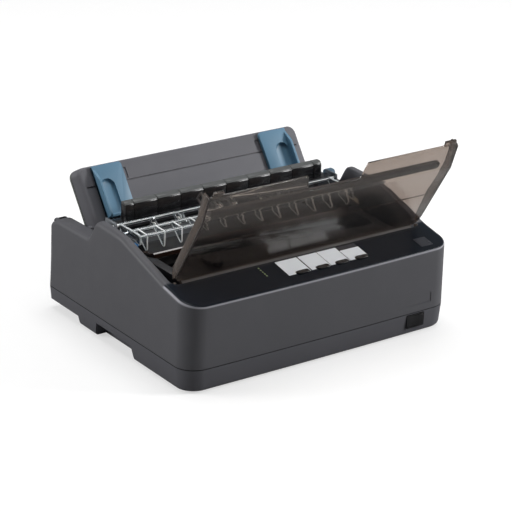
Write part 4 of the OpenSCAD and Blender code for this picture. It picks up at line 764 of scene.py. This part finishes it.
def lower_case():
    """A tapering tray with a rounded bottom edge, hand hollows, slots and posts."""
    r, taper, wall = 4.2, 2.2, 2.5
    outer = []
    for k in range(6):
        a = radians(90 * k / 5)
        z = r * (1 - cos(a))
        outer.append(plan_ring(taper * (1 - z / SEAM_Z) + r * (1 - sin(a)), z))
    outer += [plan_ring(taper * (1 - z / SEAM_Z), z) for z in (9.0, 14.0, 20.0, SEAM_Z - 0.75)]
    outer += [plan_ring(0.12, SEAM_Z - 0.35), plan_ring(0.75, SEAM_Z - 0.2)]
    body = merged("lower_case_body", [loft(outer)])
    # Hand hollows in the sides, and the walls round them inside
    grips = [[(-36, -1), (-30, 16), (38, 16), (42, -1)], [(72, -1), (76, 10), (REAR + 2, 10), (REAR + 2, -1)]]
    walls = [[(-38.5, -2), (-32.5, 18.5), (40.5, 18.5), (44.5, -2)],
             [(69.5, -2), (73.5, 12.5), (REAR + 2, 12.5), (REAR + 2, -2)]]
    inner = [plan_ring(taper + wall + 2.0, wall), plan_ring(taper + wall, 5.0), plan_ring(wall, SEAM_Z + 2)]
    hollow = cut(merged("tray", [loft(inner)]), [bar(w, *span(s, 155.5, 180)) for w in walls for s in (-1, 1)])
    slots = repeated([prism(box_outline(-1.5, -100, 1.5, -60, 1.4), -1, 6)], None, 13, -54, 9)
    tools = [hollow, slots] + [bar(g, *span(s, 158.0, 180)) for g in grips for s in (-1, 1)]
    x0, z0, x1, z1 = SWITCH
    tools.append(prism(box_outline(x0 - 0.3, z0 - 0.3, x1 + 0.3, z1 + 0.3, 0.6), -6, 3, FRONT_TURN))
    tools.append(prism(box_outline(*PORTS, 0.8), -2, 8, REAR_TURN))
    tools += [prism(disc(x, y, 3.5, 24), -1, 16) for x in (-148, 148) for y in (-117.5, 123.5)]
    body = cut(body, tools)
    posts = [prism(disc(x, y, 4.0), 2.0, 37.9) for x in (-138.5, 138.5) for y in (-71, 111)]
    body = together(body, merged("posts", posts))
    finish("lower_case_shell", body, CASE, "housing", ("lower_case",), sharp=34)
    # Frame round the rocker, its edges catching the light
    rim = solid(box_outline(x0 - 0.2, z0 - 0.2, x1 + 0.2, z1 + 0.2, 0.8), -1.6, 0.15,
                FRONT_TURN @ Matrix.Translation((0, 0, -SWITCH_IN)), 0.25)
    hole = prism(box_outline(x0 + 0.9, z0 + 0.9, x1 - 0.9, z1 - 0.9, 0.5), -5, 3, FRONT_TURN)
    finish("rocker_frame", cut(merged("frame", [rim]), [hole]), CASE, "housing")


# ---- clear tension unit ----

def tension_unit():
    """Three clear rails, end plates, and pointed fins with thick rims; the white bars on the rims and rails are
    painted highlights.
    """
    clear_parts, bright = [], []
    for y, z, r in ((44.0, 120.0, 2.0), (22.0, 120.0, 1.9), (5.0, 119.5, 1.9)):
        clear_parts.append(bar(disc(y, z, r - 0.1, 20), -TENSION_X, TENSION_X, 0.3))
        # Lines of light along each rail
        for degrees in (20, 150, 265):
            a = radians(degrees)
            line = disc(y + (r - 0.35) * cos(a), z + (r - 0.35) * sin(a), 0.42, 8)
            bright.append(bar(line, -TENSION_X, TENSION_X))
    outline = [(23.6, 118.2), (22.0, 121.0), (5.0, 120.5), (3.4, 118.5), (3.5, 104.5), (4.5, 103.0), (5.7, 103.0),
               (10.0, 106.6), (16.5, 112.6)]
    fins = repeated([bar(outline, -0.45, 0.45)], CLEAR, FIN_COUNT, FIN_FIRST, FIN_PITCH)
    # White rims of the fins: painted highlights of their clear edges
    rims = repeated(edge_bars(outline, 0.45, 0.0, -0.78, 0.78, 0.2), WHITE_PAINTED_HIGHLIGHT, FIN_COUNT, FIN_FIRST, FIN_PITCH)
    plate = [(3.4, 118.3), (3.5, 111.0), (6.0, 109.5), (14.0, 112.5), (33.0, 110.1), (39.0, 111.1), (45.6, 118.0),
             (45.6, 121.6), (22.0, 122.0), (4.4, 121.3)]
    mid_y, mid_z = (sum(values) / len(plate) for values in zip(*plate))
    inset = [(y + 0.5 * copysign(1, mid_y - y), z + 0.5 * copysign(1, mid_z - z)) for y, z in plate]
    catch = [(33.4, 110.9), (38.6, 110.9), (45.0, 119.0), (42.0, 121.0)]
    # Holders that carry the star wheels' shaft
    holder = [(33.6, 111.2), (38.4, 111.2), (39.2, 115.5), (42.4, 119.2), (40.6, 120.8), (34.4, 116.4)]
    bridge = [(40.4, 119.6), (42.6, 119.0), (43.4, 120.6), (41.4, 121.4)]
    holders = []
    for s in (-1, 1):
        clear_parts.append(bar(plate, *span(s, TENSION_X - 1.9, TENSION_X - 0.1), 0.35))
        bright += edge_bars(inset, 0.45, 0.0, *span(s, TENSION_X - 2.0, TENSION_X), 0.2)
        bright.append(bar(disc(44.0, 120.0, 1.5, 20), *span(s, TENSION_X - 1, 148.9), 0.2, 1))
        clear_parts.append(bar(catch, s * 62.4 - 1.2, s * 62.4 + 1.2, 0.3))
        holders.append(repeated([bar(holder, -3.1, -2.1, 0.25), bar(holder, 2.1, 3.1, 0.25),
                                 bar(bridge, -3.1, 3.1, 0.25)], CLEAR, 4, s * 7.8, s * 31.2))
    clear_mesh = together(merged("tension_fins", clear_parts), fins, *holders)
    finish("tension_fins", clear_mesh, CLEAR, "tension", ("tension_unit",), sharp=35)
    rim_mesh = together(merged("tension_rims", bright), rims)
    finish("tension_rims", rim_mesh, WHITE_PAINTED_HIGHLIGHT, "tension", sharp=35)


# ---- smoked cover ----

def cover_profile(s, depth=0.0):
    """(u, w) of the cover's outer face at distance s up from its hinge, or so deep behind it."""
    bend, r = radians(COVER_BEND), 14.0
    start = COVER_LOW - r * tan(bend / 2)
    if s <= start:
        return s, -LIP_SET - depth
    a = min(bend, (s - start) / r)
    rest = max(0.0, s - start - r * bend)
    return (start + (r - depth) * sin(a) + rest * cos(bend),
            -LIP_SET - r + (r - depth) * cos(a) - rest * sin(bend))


def along_cover(depth, stops):
    """Points so deep behind the cover's face, at distances up from its hinge."""
    return [cover_profile(s, depth) for s in stops]


def cover_bar(outline, low, high, radius=0.0, segments=2):
    """A bar along X over an outline in the cover's own frame."""
    return bar(outline, low, high, radius, segments, COVER_TURN)


def bent_prism(outline, low, high, radius):
    """A rounded prism over an outline on the cover, between two depths behind its face."""
    bm = prism(outline, low, high)
    for v in bm.verts:
        x, s, depth = v.co / MM
        v.co = COVER_TURN @ Vector((x, *cover_profile(s, depth))) * MM
    bm.normal_update()
    bmesh.ops.recalc_face_normals(bm, faces=bm.faces)
    return rounded(bm, radius)


def cover_outline():
    """Outline of the cover laid flat: rounded lower corners, and the notch in its upper edge."""
    side = arc(COVER_X - 10, 12, 10, -90, 0, 8) + [(COVER_X, 60.0)]
    side += arc(COVER_X - 4, COVER_TOP - 4, 4, 0, 90, 5)
    # Half of the notch, as x and the distance below the upper edge
    notch = [(x, COVER_TOP - drop) for x, drop in ((39.0, 0), (38.4, 0.5), (36.5, 8), (34.6, 17.2), (33.4, 19.2),
                                                   (31.2, 20))]
    # The left corner stops one point short of the upper edge
    return side + notch + [(-x, s) for x, s in reversed(notch)] + [(-x, s) for x, s in reversed(side[:15])]


def cover_sheet():
    """The bent sheet, with softly rounded edges."""
    bm = bmesh.new()
    bm.faces.new([bm.verts.new((x, s, 0)) for x, s in cover_outline()])
    for s in (30, 60, 88, 93, 94.2, 95.3, 96.0, 96.7, 97.4, 98.1, 98.8, 100, 104, 112, 120):
        geom = bm.verts[:] + bm.edges[:] + bm.faces[:]
        bmesh.ops.bisect_plane(bm, geom=geom, plane_co=(0, s, 0), plane_no=(0, 1, 0))
    for v in bm.verts:
        v.co = COVER_TURN @ Vector((v.co.x, *cover_profile(v.co.y))) * MM
    bmesh.ops.recalc_face_normals(bm, faces=bm.faces)
    outward = COVER_TURN.to_3x3() @ Vector((0, 0, 1))
    if sum(f.normal.dot(outward) for f in bm.faces) < 0:
        bmesh.ops.reverse_faces(bm, faces=bm.faces)
    obj = in_scene("sheet", merged("sheet", [bm]))
    add_wall(obj, COVER_T)
    add_bevel(obj, 0.5, 3, 60)
    return applied(obj)


def smoked_cover():
    """A bent sheet with flanges, hinge lip, tabs and ribs behind it."""
    sheet = cover_sheet()
    flange = along_cover(COVER_T - 0.02, (9, 60, *BEND_STOPS, COVER_TOP - 1.2))
    flange += along_cover(11.0, (COVER_TOP - 1.6, *BEND_STOPS[::-1], 40, 16)) + [(9.0, -9.0), (3.5, -4.6)]
    # Dark beads along the side edges, where the sheet turns into its flanges: partly the thick polycarbonate's own
    # darkness, partly painted shade of the edge
    bead_stops = (14, 60, *BEND_STOPS, COVER_TOP - 3.0)
    bead = along_cover(-0.03, bead_stops) + along_cover(1.3, bead_stops[::-1])
    lip = [(2.6, -LIP_SET)] + arc(0, 0, 2.4, 60, 285, 15) + [(2.6, -LIP_SET - COVER_T)]
    walls, parts, thick = [], [], [cover_bar(lip, -151, 151)]
    for s in (-1, 1):
        for shape, radius in ((flange, 0.4), (disc(0, 0, 2.4), 0.3)):
            walls.append(cover_bar(shape, *span(s, COVER_X - 2.3, COVER_X - 0.1), radius))
        parts.append(cover_bar(disc(0, 0, 1.5), *span(s, COVER_X - 1, 164.6), 0.2, 1))
        thick.append(cover_bar(bead, *span(s, COVER_X - 1.5, COVER_X + 0.02), 0.3))
    # Line moulded across the lower part
    line = [cover_profile(s, COVER_T + d) for s, d in ((53.4, -0.05), (53.4, 1.0), (52.6, 1.0), (52.6, -0.05))]
    parts.append(cover_bar(line, -152, 152, 0.2))
    # Tabs that locate the upper edge, each with a return towards the mechanism
    for x0, x1, high, r in ((140.5, 155.5, 4.8, 1.0), (-155.5, -143.0, 4.4, 3.0)):
        end = COVER_TOP + high
        parts.append(bent_prism(box_outline(x0, COVER_TOP - 1.5, x1, end, r), 0, COVER_T, 0.4))
        hook = [cover_profile(s, d) for s, d in ((end - 1.6, 0.3), (end, 0.3), (end, 2.9), (end - 1.6, 2.9))]
        parts.append(cover_bar(hook, x0 + 0.3, x1 - 0.3, 0.3))
    sheet = together(sheet, merged("cover_parts", parts))
    sheet.name = "smoked_cover"
    finish("smoked_cover", sheet, SMOKED, "cover", ("printer_cover",), sharp=35)
    finish("cover_flanges", walls, SMOKED_SIDE, "cover", sharp=35)

    # Clip behind the upper left corner, a loop of square wire
    loop = [cover_profile(s, d) for s, d in ((111.5, 10.6), (120.5, 10.2), (123.0, 16.0), (114.5, 18.8))]
    wires = edge_bars(loop, 0.7, 0.7, -159.4, -157.4, 0.3, COVER_TURN)
    finish("cover_clip", wires, SMOKED_RIB, "cover", sharp=35)

    # Stiffening rib behind the bend, its right end rounded
    r, mid, left = 4.5, COVER_LOW + 5.6, -148
    rib = [(left, mid - r)] + arc(143.6 - r, mid, r, -90, 90, 12) + [(left, mid + r)]
    thick.insert(0, bent_prism(rib, COVER_T, COVER_T + 4.2, 0.6))
    finish("cover_rib", thick, SMOKED_RIB, "cover", sharp=35)


# ---- sheet guide and its blue edge guides ----

def guide_ring(half, inset, w):
    """One outline of the sheet guide at depth w, drawn in by so much."""
    half, top, r = half - inset, GUIDE_TOP - inset, GUIDE_R - inset * 0.4
    points = [(half, -12 + min(inset, 0.4)), (half, 10.0)] + arc(half - r, top - r, r, 0, 90, 10)
    return [(x, v, w) for x, v in points] + [(-x, v, w) for x, v in reversed(points)]


def sheet_guide():
    """A front shell with slanted ends, and a rear shell behind a seam."""
    front = [guide_ring(GUIDE_FRONT_X + 6.5 * min(1.0, -w / 9.0), inset, w) for w, inset in (
        (0.0, 2.6), (-0.12, 1.7), (-0.6, 0.75), (-1.4, 0.2), (-2.6, 0.0), (-5.6, 0.0), (-8.3, 0.0), (-8.75, 0.45),
        (-8.78, 2.6))]
    # Groove along which the edge guides slide, and the two slots of their end stops
    grooves = [prism(box_outline(-141.3, 37.5, 141.3, 39.0), -1.5, 2, GUIDE_TURN)]
    grooves += [prism(box_outline(x - 2.7, 40.4, x + 2.7, 53.0, 0.8), -0.9, 2, GUIDE_TURN) for x in (-89.5, 89.5)]
    mesh = cut(merged("sheet_guide_shell", [loft(front, GUIDE_TURN)]), grooves)
    pins = [bar(disc(-5, -5.5, 3.0), *span(s, 139.0, 156.7), 0.3, turn=GUIDE_TURN) for s in (-1, 1)]
    mesh = together(mesh, merged("pins", pins))
    finish("sheet_guide_shell", mesh, GUIDE, "sheet_guide", ("sheet_guide_front",))
    rear = [guide_ring(GUIDE_REAR_X, inset, w) for w, inset in (
        (-9.22, 2.6), (-9.25, 0.5), (-9.7, 0.0), (-11.0, 0.0), (-12.3, 0.5), (-13.3, 1.5), (-13.85, 2.8),
        (-14.0, 4.2))]
    finish("sheet_guide_back", [loft(rear, GUIDE_TURN)], GUIDE_BACK, "sheet_guide",
           ("sheet_guide_rear",))


def edge_guides():
    """Two blue plates, each with a scooped finger dish beside a tall fence."""
    face = [(-130, 0.2), (-93.0, 0.2), (-93.0, 56)] + arc(-97, 56, 4, 0, 90, 6) + [(-130, 60)]
    # Scoop: arched above, running out at the bottom, as an outline and rings of inset and depth
    arch = [(-126.6, 3.0), (-108.5, 3.0), (-108.5, 33)]
    arch += [(-117.6 + 9.1 * cos(radians(a)), 34 + 9.6 * sin(radians(a)))
             for a in range(15, 181, 15)]

    def drawn_in(value, centre, inset):
        away = value - centre
        return centre + away * ((abs(away) - inset) / abs(away) if abs(away) > 0.1 else 1.0)

    scoop = [[(drawn_in(x, -117.6, inset), drawn_in(v, 20.0, inset), depth) for x, v in arch]
             for inset, depth in ((-0.6, 5.4), (0.0, 4.4), (0.4, 2.6), (1.4, 1.5), (2.6, 1.15))]
    fence_line = [(0.2, 0.4), (0.2, 10.6), (1.4, 11.6), (40.0, 11.6), (43.5, 11.0), (46.5, 9.4), (55.5, 4.4),
                  (58.6, 3.2), (59.8, 2.2), (59.8, 0.4)]
    for side, name in ((-1, "left"), (1, "right")):
        turn = GUIDE_TURN @ Matrix.Diagonal((-side, 1, 1, 1))
        plate = merged("plate", [solid(face, 0.35, 4.6, turn, 0.6, 3)])
        fence = bar(fence_line, -130.0, -126.9, 0.5, 3, turn)
        key = prism(box_outline(-126, 37.8, -97, 38.8), -1.2, 0.6, turn)
        mesh = together(cut(plate, [loft(scoop, turn)]), merged("fence", [fence, key]))
        finish("edge_guide_" + name + "_body", mesh, BLUE, "edge_" + name, ("edge_guide_" + name,),
               sharp=32)


# ---- separator bar ----

def separator_bar():
    """Black blocks 30 mm long on a ledge, each with a grey strip along its top, lighter as painted light on the
    lit top.
    """
    y, z = 47.5, 121.5
    block = [(y, z - 0.5), (y, z + 16.4), (y + 0.8, z + 17.6), (y + 9.4, z + 17.6), (y + 9.4, z - 0.5)]
    strip = [(y + 0.5, z + 17.0), (y + 1.6, z + 18.7), (y + 3.6, z + 20.0), (y + 8.6, z + 20.0),
             (y + 9.4, z + 19.0), (y + 9.4, z + 17.0)]
    core = [(y + 1.0, z - 0.4), (y + 1.0, z + 17.4), (y + 8.4, z + 18.9), (y + 8.4, z - 0.4)]
    ledge = [(46.6, 118.5), (46.6, 121.4), (59.4, 121.4), (59.4, 118.5)]

    def row(shape, mat, more, name):
        """Eight long segments and two short end ones, with narrow gaps between."""
        middle = repeated([bar(shape, 0.35, 29.65, 0.35)], mat, 8, -120, 30)
        ends = [bar(shape, *span(s, 120.35, 131.0), 0.35) for s in (-1, 1)]
        return together(merged(name, ends + more), middle)

    more = [bar(core, -130.6, 130.6, 0.2, 1), bar(ledge, -146.4, 146.4, 0.3)]
    finish("separator_blocks", row(block, GLOSS_BLACK, more, "separator_blocks"), GLOSS_BLACK, "housing",
           ("separator_bar",), sharp=32)
    finish("separator_strips", row(strip, STRIP, [], "separator_strips"), STRIP, "housing",
           sharp=32)


# ---- control panel ----

def panel_items():
    """Bare legend plates, oval buttons with dished tops, and the bare square plate."""
    cells = [prism(box_outline(x0, 16.0, x1, y1, 0.5), 0.02, 0.26, PANEL_TURN)
             for x0, x1, y1 in ((-38.0, -10.0, 43.0), (-8.4, 16.2, 43.0), (17.0, 41.6, 43.0), (42.5, 67.1, 36.0))]
    holes = [prism(ring, -1, 3, PANEL_TURN) for ring in button_rings(17.9, 7.9)]
    finish("legend_plates", cut(merged("cells", cells), holes), LEGEND, "housing",
           ("panel_legends",))
    dark = [prism(box_outline(42.5, 37.4, 67.1, 42.9, 0.5), 0.02, 0.26, PANEL_TURN),
            prism(box_outline(134.3, 8.7, 150.5, 24.9, 1.2), 0.02, 0.24, PANEL_TURN)]
    finish("dark_plates", dark, PLATE, "housing")
    for i, x in enumerate(BUTTON_XS, 1):
        rings = [[(x + px, BUTTON_V + py, w) for px, py in oval(15.9 + 2 * grow, 5.9 + 2 * grow, 12)]
                 for grow, w in ((1.2, -4.7), (1.2, -3.6), (0.0, -3.58), (0.0, 0.9), (-0.15, 1.25), (-0.5, 1.5),
                                 (-0.9, 1.56), (-1.6, 1.35), (-2.4, 1.2))]
        finish(f"button_{i}_cap", [loft(rings, PANEL_TURN)], GLOSS_BLACK, f"button_{i}",
               (f"panel_button_{i}",), sharp=50)


upper_housing()
lower_case()
tension_unit()
smoked_cover()
sheet_guide()
edge_guides()
separator_bar()
panel_items()


# ---- CAD nodes with moulded, sheared or turned edges ----

BODIES = {node: body for body, members in frame["record"]["behaviour"]["bodies"].items() for node in members}

for node_name, (node_material, edge_radius) in FINISHES.items():
    if edge_radius < LEAST_RADIUS:
        carried = nodes[node_name].data.materials
        carried.clear()
        carried.append(node_material)
        continue
    soft_mesh = softened(node_name, edge_radius)
    soft_mesh.name = node_name + "_edges"
    finish(node_name + "_soft", soft_mesh, node_material, BODIES[node_name], (node_name,),
           sharp=38)


# ---- studio ----

# Strength that lifts the lit floor to white where it is seen directly
FLOOR_LIFT = 0.56
FLOOR_HALF = 12.0
# Soft lights: name, place, width and watts
LAMPS = (("left", (-2.1, 1.35, 1.1), 1.0, 38.0), ("right", (1.9, -1.3, 1.15), 0.7, 50.0),
         ("top", (0.1, 0.2, 2.4), 1.4, 33.0))
# Where the lights and the camera point
AIM = Vector((0, 0, 0.06))
# Camera: azimuth, elevation and roll in degrees, distance, focal length on a 36 mm sensor, and shift
CAMERA_ANGLES = (-36.311, 22.398, 1.906)
CAMERA_DISTANCE, FOCAL, SHIFT = 2.317, 148.95, (0.01238, 0.01661)


def seen_directly(tree):
    """1 for rays from the camera, straight or through clear parts, otherwise 0."""
    path = tree.nodes.new("ShaderNodeLightPath").outputs
    return maths(tree, "MAXIMUM", path["Is Camera Ray"], path["Is Transmission Ray"])


def floor():
    """A pale seamless floor that shows white and keeps the object's shadow."""
    mat, tree, shader, place = material("pale_seamless_paper")
    grey = ramp(tree, noise(tree, place, 25, 4.0), 0.43, 0.455)
    base = add(tree, "ShaderNodeCombineColor", {"Red": grey, "Green": grey, "Blue": grey})
    feed(tree, shader, {"Base Color": base.outputs[0], "Roughness": 0.9, "Specular IOR Level": 0.1,
                        "Emission Color": (1, 1, 1, 1),
                        "Emission Strength": maths(tree, "MULTIPLY", seen_directly(tree), FLOOR_LIFT)})
    bm = bmesh.new()
    bmesh.ops.create_grid(bm, x_segments=2, y_segments=2, size=FLOOR_HALF,
                          matrix=Matrix.Translation((0, 0, -FOOT_HEIGHT * MM)))
    mesh = merged("floor", [bm])
    mesh.materials.append(mat)
    in_scene("floor", mesh)


def surround():
    """A plain surround, seen white but otherwise dim, with a dark gap towards the front left."""
    world = bpy.data.worlds.new("studio")
    bpy.context.scene.world = world
    world.use_nodes = True
    tree = world.node_tree
    tree.nodes.clear()
    place = tree.nodes.new("ShaderNodeTexCoord").outputs["Generated"]
    height = add(tree, "ShaderNodeSeparateXYZ", {"Vector": place}).outputs["Z"]
    room = ramp(tree, height, 0.20, 0.34, -0.1, 0.9)
    toward = add(tree, "ShaderNodeVectorMath", {0: place, 1: (-0.60, -0.80, 0.0)}, operation="DOT_PRODUCT")
    gap = ramp(tree, toward.outputs["Value"], 1.0, 0.08, 0.15, 0.8, interpolation_type="SMOOTHSTEP")
    level = add(tree, "ShaderNodeMix", {"Factor": seen_directly(tree), "A": maths(tree, "MULTIPLY", room, gap),
                                        "B": 1.0}, data_type="FLOAT")
    back = add(tree, "ShaderNodeBackground", {"Color": (1, 1, 1, 1), "Strength": level.outputs["Result"]})
    add(tree, "ShaderNodeOutputWorld", {"Surface": back.outputs[0]})


def lamps():
    """Large soft lights that face the object."""
    for name, spot, width, power in LAMPS:
        light = bpy.data.lights.new(name, "AREA")
        light.energy = power
        light.shape = "SQUARE"
        light.size = width
        lamp = in_scene(name, light)
        lamp.location = spot
        lamp.rotation_euler = (AIM - Vector(spot)).to_track_quat("-Z", "Y").to_euler()


def camera():
    """A long lens at the front left corner, a little above the machine."""
    azimuth, elevation, roll = (radians(a) for a in CAMERA_ANGLES)
    back = Vector((sin(azimuth) * cos(elevation), -cos(azimuth) * cos(elevation), sin(elevation)))
    right = (-back).cross(Vector((0, 0, 1))).normalized()
    up = right.cross(-back)
    turned_right = right * cos(roll) + up * sin(roll)
    turned_up = -right * sin(roll) + up * cos(roll)
    lens = bpy.data.cameras.new("camera")
    lens.sensor_width = 36.0
    lens.lens = FOCAL
    lens.shift_x, lens.shift_y = SHIFT
    lens.clip_start, lens.clip_end = 0.05, 60.0
    eye = in_scene("camera", lens)
    turn = Matrix((turned_right, turned_up, back)).transposed().to_4x4()
    eye.matrix_world = Matrix.Translation(AIM + back * CAMERA_DISTANCE) @ turn
    bpy.context.scene.camera = eye


bpy.context.scene.view_settings.view_transform = "Standard"
floor()
surround()
lamps()
camera()
